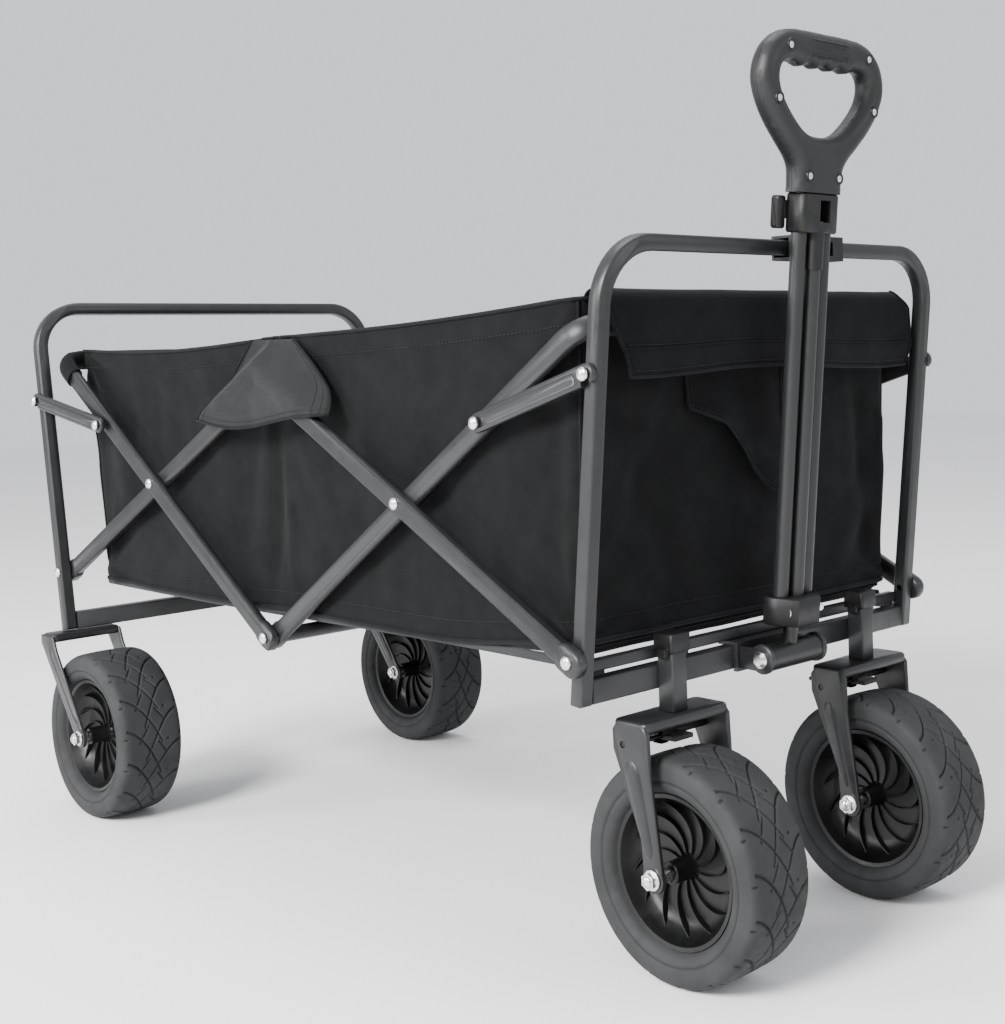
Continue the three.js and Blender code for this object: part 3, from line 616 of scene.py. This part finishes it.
def end_swell(x, z, v, seed):
    """The same for an end wall."""
    held = math.sin(math.pi * min(1, max(0, v)))
    across = math.cos(math.pi * x / (2 * BAG_HALF))
    out = 0.007 * held * across
    out += held * (0.005 * swell(x, seed, z * 0.5, 8, seed) + 0.0026 * swell(x, seed, z * 0.6, 20, seed + 5))
    out += fan(x, z, -0.225, 0.30, 9, seed, 0.07, 0.004) + fan(x, z, 0.225, 0.30, 9, 2 * seed, 0.07, 0.004)
    for start, end, width, depth in END_CREASES:
        out += crease(x * (1 if seed < 2 else -0.9), z, start, end, width, depth)
    return max(-0.012, min(0.013, out))


def wall_y(z, front):
    v = (z - FLOOR_Z) / (WALL_TOP - FLOOR_Z)
    low, high = BAG_FRONT if front else BAG_REAR
    return low + (high - low) * v


def bag_perimeter():
    """Stations round the bag, each (x, distance from the front), starting at the rear right corner."""
    spacing = 0.0062
    near, far, half = CORNER, BAG_SPAN - CORNER, BAG_HALF - CORNER
    path = []
    for quarter, (cx, cs) in enumerate([(-half, far), (half, far), (half, near), (-half, near)]):
        for k in range(7):
            a = math.pi - quarter * math.pi / 2 - k * math.pi / 12
            path.append((cx + CORNER * math.cos(a), cs + CORNER * math.sin(a)))
    stations = []
    for (x0, s0), (x1, s1) in zip(path, path[1:] + path[:1]):
        steps = max(1, round(math.hypot(x1 - x0, s1 - s0) / spacing))
        stations += [(x0 + (x1 - x0) * k / steps, s0 + (s1 - s0) * k / steps) for k in range(steps)]
    return stations


def bag_point(x, s, v, lift=0.0):
    """A point of the bag's outer face, at v from the hem (0) to the rim (1)."""
    t = min(1.0, max(0.0, s / BAG_SPAN))
    low, high = hem_height(t), rim_height(t)
    near_end = min(s, BAG_SPAN - s) < 0.0165
    if near_end and s > BAG_SPAN / 2:
        high -= 0.010 * math.cos(math.pi * x / (2 * BAG_HALF))
    z = low + (high - low) * v
    y = wall_y(z, True) + t * (wall_y(z, False) - wall_y(z, True))
    side_share = smooth((abs(x) - (BAG_HALF - CORNER)) / CORNER)
    end_share = smooth(1 - min(s, BAG_SPAN - s) / CORNER)
    hem = 0.0012 * smooth((v - 0.915) / 0.01) + 0.0014 * smooth((0.055 - v) / 0.012)
    seed = 1.0 if x < 0 else 2.2
    out_side = (side_swell(y, z, v, seed) + hem + lift) * side_share if side_share else 0.0
    front = s < BAG_SPAN / 2
    out_end = (end_swell(x, z, v, 1.4 if front else 3.1) + hem + lift) * end_share if end_share else 0.0
    return Vector((x + (out_side if x > 0 else -out_side), y + (-out_end if front else out_end), z))


def folding(obj):
    """Gives a piece of cloth its own copy of its mesh."""
    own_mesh(obj)


def fabric(name, points, faces, material, thickness=CLOTH_THICK,
           replaced=(), smooth_angle=60.0):
    """A sheet of cloth that rides on the frame; its thickness goes inwards."""
    obj = piece(name, points, faces, material, "frame", smooth_angle)
    if thickness:
        obj.modifiers.new("thickness", "SOLIDIFY").thickness = thickness
    folding(obj)
    if replaced:
        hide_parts(*replaced)


def trim(name, points, faces, material):
    """A seam, tape or row of stitches on the cloth, which rides on the frame."""
    folding(piece(name, points, faces, material, "frame", 50))


def stitches(name, lines, pitch=0.0052):
    """Rows of short threads along lines of points."""
    share, radius = 0.62, 0.00042
    parts = []
    for line in lines:
        pts = np.array([tuple(p) for p in line])
        along = distances(pts)
        for k in range(int(along[-1] / pitch)):
            ends = [k * pitch, k * pitch + pitch * share / 2, k * pitch + pitch * share]
            at = [Vector([np.interp(e, along, pts[:, i]) for i in range(3)]) for e in ends]
            if (at[2] - at[0]).length > 1e-5:
                parts.append(cord_mesh(at, radius, 5))
    trim(name, *joined(parts), THREAD)


def make_bag():
    stations = bag_perimeter()
    heights = np.concatenate([np.linspace(0, 0.07, 7)[:-1], np.linspace(0.07, 0.9, 40)[:-1],
                              np.linspace(0.9, 1, 8)])
    points = [bag_point(x, s, v) for x, s in stations for v in heights]
    faces = grid_faces(len(stations), len(heights), wrap_rows=True)
    fabric("bag_shell", points, faces, CLOTH, replaced=("bag",))
    bend = [(0.2501, 0.458, 0.5368), (0.2501, 0.4735, 0.5470), (0.2478, 0.4825, 0.5528),
            (0.2415, 0.4892, 0.5572)]
    corner = [Vector(p) for p in spline(bend, 14)]
    across = [Vector((x, 0.4915, 0.5588)) for x in np.linspace(0.228, -0.228, 60)]
    path = corner + across + [Vector((-p.x, p.y, p.z)) for p in reversed(corner)]
    wavy = [p + Vector((0, 0, 0.0012 * swell(p.x, 0, 0, 25, 7))) for p in path]
    trim("bag_rear_sleeve", *cord_mesh(wavy, 0.0092, 20, flat=1.42, normal=(0, -0.553, 0.833)), CLOTH)
    edge = [bag_point(x, s, 1.0, 0.0002) + Vector((0, 0, -0.0006)) for x, s in stations]
    trim("bag_rim_tape", *cord_mesh(edge, 0.0026, 8, closed=True, flat=0.75, normal=(0, 0, 1)), BINDING)
    for name, v in (("bag_rim_stitches", 0.925), ("bag_hem_stitches", 0.062)):
        stitches(name, [[bag_point(x, s, v, 0.0003) for x, s in stations + stations[:1]]])
    hem = [bag_point(x, s, 0.0, 0.0004) for x, s in stations]
    trim("bag_hem_piping", *cord_mesh(hem, 0.0023, 8, closed=True), BINDING)
    inset = 0.0047
    seams = [[bag_point(x, s, v, 0.0008) for v in np.linspace(0.01, 0.99, 40)]
             for s in (inset, BAG_SPAN - inset) for x in (inset - BAG_HALF, BAG_HALF - inset)]
    trim("bag_corner_seams", *joined([cord_mesh(line, 0.0016, 6) for line in seams]), BINDING)


def make_floor():
    """The bag's floor: a board covered in cloth, with a grey tape along its edges."""
    xs = np.linspace(-1, 1, 41)
    ts = np.linspace(0, 1, 90)
    front, span = BAG_FRONT[0], BAG_REAR[0] - BAG_FRONT[0]
    top, bottom = [], []
    for t in ts:
        for x in xs:
            px = x * (BAG_HALF - 0.0035)
            y = front + 0.003 + t * (span - 0.006)
            lift = max(0.0, hem_height(t) - FLOOR_Z) if t == 0 or abs(x) > 0.99 else 0.0
            sag = 0.0012 * swell(px, y, 0, 14, 4)
            board = 0.0012 * smooth(1 - abs((t * 4) % 1 - 0.5) * 2 / 0.12) if 0.1 < t < 0.9 else 0
            top.append(Vector((px, y, FLOOR_Z + 0.0029 + lift + 0.2 * sag)))
            bottom.append(Vector((px, y, FLOOR_Z - 0.0022 + lift + sag + board)))
    fabric("bag_floor", top + bottom, slab_faces(len(ts), len(xs))[0], CLOTH, thickness=0, smooth_angle=50)
    for side, sign in SIDES:
        line = [Vector((sign * (BAG_HALF - 0.0045), y, FLOOR_Z - 0.0045 - 0.0012 * math.sin(8 * y)))
                for y in np.linspace(front + 0.006, BAG_REAR[0] - 0.004, 60)]
        trim(f"floor_edge_{side}", *cord_mesh(line, 0.0046, 8, flat=0.5, normal=(1, 0, 0)), STRIP)


def inflate(obj, held):
    """Blows a closed cover up with the cloth solver; held points stay, and none moves past the limit."""
    pressure, frames, limit = 4.0, 20, 0.0022
    mesh = obj.data
    before = [v.co.copy() for v in mesh.vertices]
    sewn = obj.vertex_groups.new(name="sewn")
    sewn.add(held, 1.0, "REPLACE")
    cloth = obj.modifiers.new("cloth", "CLOTH")
    cloth.settings.quality = 4
    cloth.settings.mass = 0.25
    cloth.settings.use_pressure = True
    cloth.settings.uniform_pressure_force = pressure
    cloth.settings.effector_weights.gravity = 0.0
    cloth.settings.vertex_group_mass = "sewn"
    cloth.point_cache.frame_end = frames
    scene = bpy.context.scene
    for frame_number in range(1, frames + 1):
        scene.frame_set(frame_number)
    blown = obj.evaluated_get(bpy.context.evaluated_depsgraph_get()).data
    after = [v.co.copy() for v in blown.vertices]
    obj.modifiers.remove(cloth)
    obj.vertex_groups.remove(sewn)
    scene.frame_set(1)
    floor = min(p.z for p in before)
    for vertex, start, end in zip(mesh.vertices, before, after):
        move = end - start
        if move.length > limit:
            move *= limit / move.length
        vertex.co = start + move
        vertex.co.z = max(vertex.co.z, floor)
    mesh.update()


def make_mat():
    """The floor mat: four padded boards in one cover, with sewn folds between them."""
    low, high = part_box("floor_mat")
    xs, ts = np.linspace(-1, 1, 57), np.linspace(0, 1, 121)
    rows, columns = len(ts), len(xs)
    middle_z = (low.z + high.z) / 2
    folds = [min(abs(t - k / 4) for k in (1, 2, 3)) for t in ts]
    layers = []
    for up in (1, -1):
        for t, fold in zip(ts, folds):
            end = min(t, 1 - t)
            for x in xs:
                px = x * (high.x - 0.001)
                y = low.y + 0.001 + t * (high.y - low.y - 0.002)
                edge = min(smooth((1 - abs(x)) / 0.10), smooth(end / 0.05))
                plump = (0.25 + 0.75 * edge) * (0.30 + 0.70 * smooth(fold / 0.022))
                height = 0.0034 * plump + 0.0005 * swell(px, y, 0, 26, 6) * edge
                if up < 0:
                    height = min(height, 0.0024)
                pinch = 1 - 0.006 * (1 - smooth(fold / 0.02))
                layers.append(Vector((px * pinch, y, middle_z + up * height)))
    n = rows * columns
    faces, border = slab_faces(rows, columns)
    sewn = [i * columns + j for i in range(rows) for j in range(columns)
            if folds[i] < 0.006 or j in (0, columns - 1) or i in (0, rows - 1)]
    mat = piece("floor_mat_padded", layers, faces, CLOTH, "frame", 60)
    inflate(mat, sewn + [i + n for i in sewn])
    folding(mat)
    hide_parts("floor_mat")
    ring = [layers[i] * 0.5 + layers[i + n] * 0.5 for i in border]
    trim("floor_mat_piping", *cord_mesh(ring, 0.0022, 8, closed=True), BINDING)
    above = Vector((0, 0, 0.0004))
    seams = [[layers[i * columns + j] + above for j in range(2, columns - 2)]
             for i in (round(k / 4 * (rows - 1)) for k in (1, 2, 3))]
    stitches("floor_mat_stitches", seams, 0.0065)


# ---- cloth: flaps, band and pocket

BAR_SLOPE = math.tan(math.radians(27.61))
TOP_Y, TOP_Z = MID_Y, 0.535


def free_edges(point, us, vs):
    """Points along a flap's three free edges; the fourth one, at v = 0, is sewn on."""
    down = [point(0, v) for v in vs]
    return down + [point(u, 1) for u in us[1:]] + [point(1, v) for v in reversed(vs[:-1])]


def flap_point(sign, u, v, lift=0.0):
    """A side flap hangs from the rim over the bars' top joint; u runs from its rear edge to its front."""
    top_y = TOP_Y + 0.036 - 0.078 * u
    low_y = TOP_Y + 0.113 - 0.236 * u
    low_z = 0.4885 + 0.0075 * u - 0.008 * math.sin(math.pi * u) - 0.004 * math.sin(2 * math.pi * u)
    bulge = 0.012 * math.sin(math.pi * v) * ((u > 0.5) - 0.35) * abs(u - 0.5) * 2
    y = top_y + (low_y - top_y) * v - bulge
    z = 0.5735 + (low_z - 0.5735) * v
    above = z - (TOP_Z + 0.0113 - BAR_SLOPE * abs(y - TOP_Y))
    out = min(0.0056 + 0.0260 * (1 - smooth(above / 0.030)), 0.0302)
    out -= 0.004 * smooth(-above / 0.03) * (1 - smooth(abs(y - TOP_Y) / 0.13))
    out += 0.0012 * swell(sign, y, z, 40, 2) * v
    valley = crease(y, z, (TOP_Y - 0.004, 0.563), (TOP_Y - 0.066, 0.502), 0.008, 1.0)
    out -= 0.0035 * valley * smooth((above - 0.002) / 0.012)
    out = max(out, 0.0056 - 0.0016 * smooth((z - 0.566) / 0.006))
    return Vector((sign * (BAG_HALF + out + lift), y, z))


def make_flap(side, sign):
    def point(u, v, lift=0.0):
        return flap_point(sign, u, v, lift)

    us, vs = np.linspace(0, 1, 46), np.linspace(0, 1, 34)
    points = [point(u, v) for u in us for v in vs]
    fabric(f"side_flap_{side}_cloth", points, grid_faces(46, 34), FLAP_CLOTH, 0.0011,
           replaced=(f"side_flap_{side}",))
    trim(f"side_flap_{side}_binding", *cord_mesh(free_edges(point, us, vs), 0.0017, 7), BINDING)
    rows = [[point(u, v, 0.0004) for v in some] for u, some in ((0.035, vs), (0.965, vs), (0.93, vs[4:]))]
    rows.append([point(u, 0.93, 0.0004) for u in us])
    stitches(f"side_flap_{side}_stitches", rows, 0.0042)


BAND_PROFILE = [(-0.4215, 0.584), (-0.4240, 0.5975), (-0.4300, 0.6035), (-0.4385, 0.6050), (-0.4465, 0.6025),
                (-0.4515, 0.5950), (-0.4530, 0.5800), (-0.4530, 0.5600), (-0.4522, 0.5450), (-0.4512, 0.5330)]
BAND_LINE = spline([(0, y, z) for y, z in BAND_PROFILE], 44)
BAND_HALF, BAND_TOP_HALF = 0.2215, 0.2055


def band_point(u, k, lift=0.0):
    """The front band: k counts down its profile from the bag's inside; x rises with u."""
    _, y, z = BAND_LINE[k]
    outside = y < -0.4385
    low = -BAND_HALF + 0.0245 * smooth((0.594 - z) / 0.061) if outside else -BAND_HALF
    high = BAND_HALF
    if z > 0.586:
        high = BAND_TOP_HALF + 0.016 * (1 - smooth((z - 0.586) / 0.017)) if outside else BAND_TOP_HALF
    elif outside:
        high = BAND_HALF - 0.0085 * smooth((0.556 - z) / 0.023)
    x = low + (high - low) * u
    down = smooth((0.595 - z) / 0.06) if outside else 0.0
    hem = 0.0008 * smooth((0.5565 - z) / 0.002) if outside else 0.0
    wave = down * (0.0022 * swell(x, 0, 0, 12, 3) + 0.0013 * swell(x, z, 0, 30, 5))
    sag = down * (0.0030 * math.cos(2.3 * math.pi * (u - 0.45)) - 0.0015)
    curl = 0.004 * down * smooth(1 - u / 0.12) + 0.003 * down * smooth(1 - (1 - u) / 0.1)
    return Vector((x, y - wave - curl * 0.4 - hem - lift, z + sag + 0.0012 * swell(x, 0, 1, 16, 8)))


def band_row(height, us, lift):
    """Points along the band's outside, near a height."""
    k = min(range(20, len(BAND_LINE)), key=lambda i: abs(BAND_LINE[i][2] - height))
    return [band_point(u, k, lift) for u in us]


def make_band():
    us, count = np.linspace(0, 1, 90), len(BAND_LINE)
    points = [band_point(u, k) for u in us for k in range(count)]
    fabric("front_band_cloth", points, grid_faces(90, count), CLOTH, 0.0012,
           replaced=("front_band",), smooth_angle=70)
    rows = [band_row(height, np.linspace(0.02, 0.98, 80), 0.0003) for height in (0.5575, 0.5372)]
    stitches("front_band_stitches", rows, 0.0046)
    hem = [band_point(0.0, k) for k in range(18, count)] + [band_point(u, count - 1) for u in us[1:]]
    hem += [band_point(1.0, k) for k in range(count - 2, 12, -1)]
    trim("front_band_binding", *cord_mesh(hem, 0.0017, 7), BINDING)
    trim("front_band_fold", *cord_mesh(band_row(0.5570, us, 0.0002), 0.0010, 6), CLOTH)


def front_wall(x, z):
    """The bag's front face at x and height z, as bag_point gives it."""
    v = (z - hem_height(0)) / (rim_height(0) - hem_height(0))
    return bag_point(x, 0.0, v)


def pocket_point(u, v, lift=0.0):
    """The front pocket's flap, sewn on along its top edge; its bottom edge slants."""
    x, top = -0.099 + 0.140 * u, 0.552
    low = float(np.interp(u, (0, 0.10, 0.30, 0.45, 0.60, 0.78, 1),
                          (0.498, 0.493, 0.482, 0.462, 0.436, 0.416, 0.405)))
    z = top + (low - top) * v
    out = 0.0024 + 0.0120 * v**3 * (0.30 + 0.70 * smooth(u / 0.3)) + 0.0012 * swell(x, z, 0, 30, 9)
    p = front_wall(x, z)
    return Vector((x, p.y - out - lift, z))


def make_pocket():
    us, vs = np.linspace(0, 1, 44), np.linspace(0, 1, 30)
    points = [pocket_point(u, v) for u in us for v in vs]
    fabric("front_pocket_flap", points, grid_faces(44, 30), CLOTH, 0.0011)
    border = free_edges(pocket_point, us, vs)
    trim("front_pocket_binding", *cord_mesh(border, 0.0015, 7), BINDING)
    stitches("front_pocket_stitches", [[pocket_point(0.035, v, 0.0004) for v in vs],
                                       [pocket_point(u, 0.93, 0.0004) for u in us]], 0.0046)


make_bag()
make_floor()
make_mat()
for side, sign in SIDES:
    make_flap(side, sign)
make_band()
make_pocket()

# ---- grip and handle details


def on_handle(x, y, z):
    """A point given along the handle, in millimetres, turned into the row frame."""
    c, s = math.cos(HANDLE_LEAN), math.sin(HANDLE_LEAN)
    return handle_pivot + Vector((x, y * c - z * s, y * s + z * c)) * MM


def on_grip(x, y, z):
    """The same, with z measured from the grip's foot."""
    return on_handle(x, y, z + GRIP_FOOT / MM)


# half outlines of the grip and its hole, in millimetres
GRIP_HALF = [(32, 0), (32, 8), (32.3, 15), (34, 22.5), (40.5, 31), (52, 41.5), (67, 56), (79, 71),
             (86.5, 85), (89.5, 98), (87.5, 112), (80, 126), (67, 136.5), (50, 142), (25, 143), (0, 143)]
HOLE_HALF = [(0, 50.5), (15, 51.7), (29, 57), (42, 66.5), (53.5, 77.5), (61.5, 88), (65, 98),
             (63.5, 106.5), (57, 112.3), (46, 114.2)]
FOOT_HALF = 32.0
GRIP_MIDDLE = (0.0, 86.0)
GRIP_ROUND = 12.8
GRIP_THICK = 12.9


def grip_outlines():
    """The grip's outline and its hole's, with finger waves along the top of the hole."""
    bottom = np.stack([np.linspace(0, FOOT_HALF, 60, endpoint=False), np.zeros(60)], axis=1)
    reach, top, wave = 44, 114.2, 3.2
    fingers = [(x, top - wave * math.sin(math.pi * 4 * (reach - x) / (2 * reach)) ** 2)
               for x in np.linspace(reach, 0, 60)]
    halves = (np.concatenate([bottom, spline(GRIP_HALF, 400)]),
              np.concatenate([spline(HOLE_HALF, 260), np.array(fingers)]))
    return [np.concatenate([half, (half * (-1, 1))[::-1]]) for half in halves]


def ray_hits(outline, angles):
    """Where rays from the middle of the hole cross an outline."""
    away = outline - GRIP_MIDDLE
    direction = np.unwrap(np.arctan2(away[:, 1], away[:, 0]))
    order = np.argsort(direction)
    radius = np.hypot(away[:, 0], away[:, 1])
    return np.interp(angles, direction[order], radius[order], period=2 * math.pi)


def grip_shell(name, sign):
    """One half of the grip as a rounded shell; sign is -1 for the front half."""
    outer, hole = grip_outlines()
    columns = 25
    corner = math.atan2(-GRIP_MIDDLE[1], FOOT_HALF)
    low = -math.pi / 2
    angles = np.concatenate([
        np.linspace(low, corner, 9)[:-1], np.linspace(corner, corner + 0.30, 22)[:-1],
        np.linspace(corner + 0.30, math.pi / 2, 90)])
    angles = np.concatenate([angles, (math.pi - angles[1:-1])[::-1]])
    far, near = ray_hits(outer, angles), ray_hits(hole, angles)
    shares = 0.5 - 0.5 * np.cos(np.linspace(0, math.pi, columns))
    radius = near[:, None] + (far - near)[:, None] * shares[None, :]
    x = GRIP_MIDDLE[0] + radius * np.cos(angles)[:, None]
    z = GRIP_MIDDLE[1] + radius * np.sin(angles)[:, None]
    border = np.concatenate([outer[(outer[:, 1] > 0.01)], hole])
    flat = np.stack([x.ravel(), z.ravel()], axis=1)
    offsets = flat[:, None] - border[None, ::2]
    away = np.min(np.hypot(offsets[..., 0], offsets[..., 1]), axis=1)
    depth = 1 - np.clip(away / GRIP_ROUND, 0, 1)
    height = GRIP_THICK * np.sqrt(np.clip(1 - depth**2.3, 0, 1))
    rim = (np.tile(np.arange(columns), len(angles)) % (columns - 1) == 0) & (flat[:, 1] > 0.01)
    height = np.where(rim, 0.0, height) + 0.25
    points = [on_grip(px, sign * h, pz) for (px, pz), h in zip(flat, height)]
    points += [on_grip(px, sign * 0.15, pz) for px, pz in flat]
    rows, n = len(angles), len(flat)
    faces = grid_faces(rows, columns, wrap_rows=True)
    faces += [tuple(reversed(f)) for f in grid_faces(rows, columns, wrap_rows=True, start=n)]
    for i in range(rows):
        k = (i + 1) % rows
        for j in (0, columns - 1):
            faces.append((i * columns + j, k * columns + j, n + k * columns + j, n + i * columns + j))
    shell = piece(name + "_smooth", points, faces, GRIP_PLASTIC, "grip", 50)
    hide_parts(name)


def facing_front(part, x, y, z):
    """A part turned about X, turned to face out of the grip's front at a point given in millimetres."""
    points, faces = part
    return [on_grip(x + p.y / MM, y - p.x / MM, z + p.z / MM) for p in points], faces


def grip_screws():
    """Screws in their cups, and the rows of raised dots above the hole."""
    screw = capped(dome(0.0031, 0.0005), 18)
    cup = turned([(0.0031, -0.0008), (0.0032, 0.0004), (0.0044, 0.0007), (0.0054, 0.0004),
                  (0.0058, -0.0008)], 20, closed=True)
    spots = [(side * x, -GRIP_THICK - 0.15, z) for x, z in ((21.5, 14.5), (70.5, 79.5), (58, 126.5))
             for side in (-1, 1)]
    piece("grip_screws", *joined([facing_front(screw, *spot) for spot in spots]), ZINC, "grip", 40)
    piece("grip_screw_cups", *joined([facing_front(cup, *spot) for spot in spots]), PLASTIC, "grip", 40)
    dot = capped([(0.0010, -0.0003), (0.0009, 0.0005), (0.0005, 0.0008), (1e-5, 0.00085)], 8)
    dots = [facing_front(dot, (i - 7) * 3.6, -GRIP_THICK - 0.05, 119.5 + k * 3.1)
            for i in range(15) for k in range(6)]
    piece("grip_texture_dots", *joined(dots), GRIP_PLASTIC, "grip", 60)


def block_screws():
    parts = []
    points, faces = capped(dome(0.0042, 0.0016), 18)
    for side in (-1, 1):
        origin = Vector((side * 22.6, -15.0, 44))
        turn = Matrix.Rotation(math.radians(-side * 51), 3, "Z")
        moved = [origin + turn @ Vector((p.y, -p.x, p.z)) / MM for p in points]
        parts.append(([on_handle(*p) for p in moved], faces))
    piece("handle_block_screws", *joined(parts), ZINC, "handle", 40)


def button_ribs():
    parts = [cord_mesh([on_handle(-39.6, 9.3 + 1.6 * k, z) for z in np.linspace(399, 423, 8)], 0.0006)
             for k in range(5)]
    piece("release_button_ribs", *joined(parts), PLASTIC, "release_button", 60)


grip_shell("grip_front_shell", -1)
grip_shell("grip_rear_shell", 1)
grip_screws()
block_screws()
button_ribs()

# ---- raised ribs of the fork blades, brake pins


def emboss(start, end, x, sign, widths):
    """A rounded rib from start to end, each (y, z), on the plane x, standing out along sign."""
    height = 0.0024
    a, b = Vector(start), Vector(end)
    along = (b - a).normalized()
    across = Vector((-along.y, along.x))
    rows = []
    for i in range(15):
        t = i / 14
        wide = (widths[0] + (widths[1] - widths[0]) * t) / 2
        cap = math.sqrt(max(0.0, 1 - abs(2 * t - 1) ** 8))
        for j in range(9):
            k = -1 + j / 4
            p = a + (b - a) * t + across * (k * wide * (0.35 + 0.65 * cap))
            up = height * cap * (1 - k * k) ** 0.5 if abs(k) < 1 else 0.0
            rows.append(Vector((x + sign * (up - 0.0002), p.x, p.y)))
    return rows, grid_faces(15, 9)


def fork_details():
    """Ribs on both faces of each fork; at the front also the brake's pin and nut."""
    pin = [(0.0042, x) for x in (-0.0475, -0.012)]
    nut_profile = [(0.0085, -0.012), (0.009, -0.010), (0.009, -0.003), (0.0085, -0.001), (0.0042, -0.001)]
    lines = {  # distance of a rib's plane and of the post from the axle, then the rib's ends and widths
        "front": (0.055, 0.0217, (0.003, 0.198), (-0.0195, 0.116), (0.017, 0.010)),
        "rear": (0.046, 0.081, (-0.006, 0.200), (-0.0765, 0.114), (0.013, 0.009)),
    }
    for end, (reach, post, (y0, z0), (y1, z1), widths) in lines.items():
        for side, _ in SIDES:
            centre = middle(f"{end}_{side}_axle")
            post_y = centre.y + post
            ribs = [emboss((post_y + y0, z0), (post_y + y1, z1), centre.x + face * reach, face, widths)
                    for face in (-1, 1)]
            body = f"caster_{side}" if end == "front" else "rear_frame"
            piece(f"{end}_fork_{side}_ribs", *joined(ribs), PAINT, body, 60)
            if end == "front":
                at = (centre.x, post_y + 0.010, 0.211)
                rod, nut = turned(pin, 16, at), turned(nut_profile, 6, at)
                piece(f"brake_{side}_pin", *rod, ZINC, f"brake_{side}", 40)
                piece(f"brake_{side}_nut", *nut, PLASTIC, f"brake_{side}", 30)


fork_details()

# ---- camera, lights and floor


def add_camera():
    """The camera fitted to the photo; its focal length is given in image heights."""
    place, focal = (-1.12524, -1.35515, 0.55077), 1.5256 / 1.024
    azimuth, elevation, roll = (math.radians(a) for a in (-45.24004, -1.36802, -1.61148))
    ahead = Vector((-math.sin(azimuth) * math.cos(elevation), math.cos(azimuth) * math.cos(elevation),
                    math.sin(elevation)))
    right = ahead.cross(Vector((0, 0, 1))).normalized()
    up = right.cross(ahead)
    rolled = (math.cos(roll) * right + math.sin(roll) * up, -math.sin(roll) * right + math.cos(roll) * up)
    data = bpy.data.cameras.new("camera")
    data.sensor_width = 36
    data.lens = focal * 36
    data.shift_x, data.shift_y = -0.11, -0.1211
    camera = in_scene("camera", data)
    turn = Matrix((*rolled, -ahead)).transposed()
    camera.matrix_world = Matrix.Translation(place) @ turn.to_4x4()
    bpy.context.scene.camera = camera


def add_light(name, place, target, size, power):
    """A rectangular light, its place, target and size in metres and its power in watts."""
    data = bpy.data.lights.new(name, "AREA")
    data.shape = "RECTANGLE"
    data.size, data.size_y = size
    data.energy = power
    light = in_scene(name, data)
    light.location = place
    light.rotation_euler = (Vector(target) - Vector(place)).to_track_quat("-Z", "Y").to_euler()


def add_stage():
    """A paper floor, 18 m wide, under a pale sky."""
    steps = 24
    line = np.linspace(-9.0, 9.0, steps)
    mesh = mesh_of("floor", [(x, y, 0.0) for x in line for y in line], grid_faces(steps, steps))
    floor = in_scene("floor", mesh)
    n = Nodes("floor_paper")
    n.link(n.mix(n.ramp(n.noise(3, 3), 0.3, 0.7), (0.9, 0.9, 0.9), (0.92, 0.92, 0.92)),
           n.shader.inputs["Base Color"])
    n.set(Roughness=0.8)
    mesh.materials.append(n.material)
    world = bpy.data.worlds.new("studio")
    world.use_nodes = True
    sky = world.node_tree.nodes["Background"]
    sky.inputs["Color"].default_value = (0.95, 0.97, 1, 1)
    sky.inputs["Strength"].default_value = 1.05
    bpy.context.scene.world = world


add_camera()
add_light("key", (-3.0, -0.7, 2.1), (0, -0.1, 0.35), (1.2, 1.0), 300)
add_light("side", (-3.0, 1.6, 1.3), (0, 0.1, 0.35), (0.9, 1.3), 80)
add_light("front", (0.9, -3.2, 1.8), (0, -0.2, 0.4), (1.4, 1.4), 22)
add_light("top", (0.3, 0.2, 3.4), (0, 0, 0.3), (1.8, 1.8), 60)
add_stage()
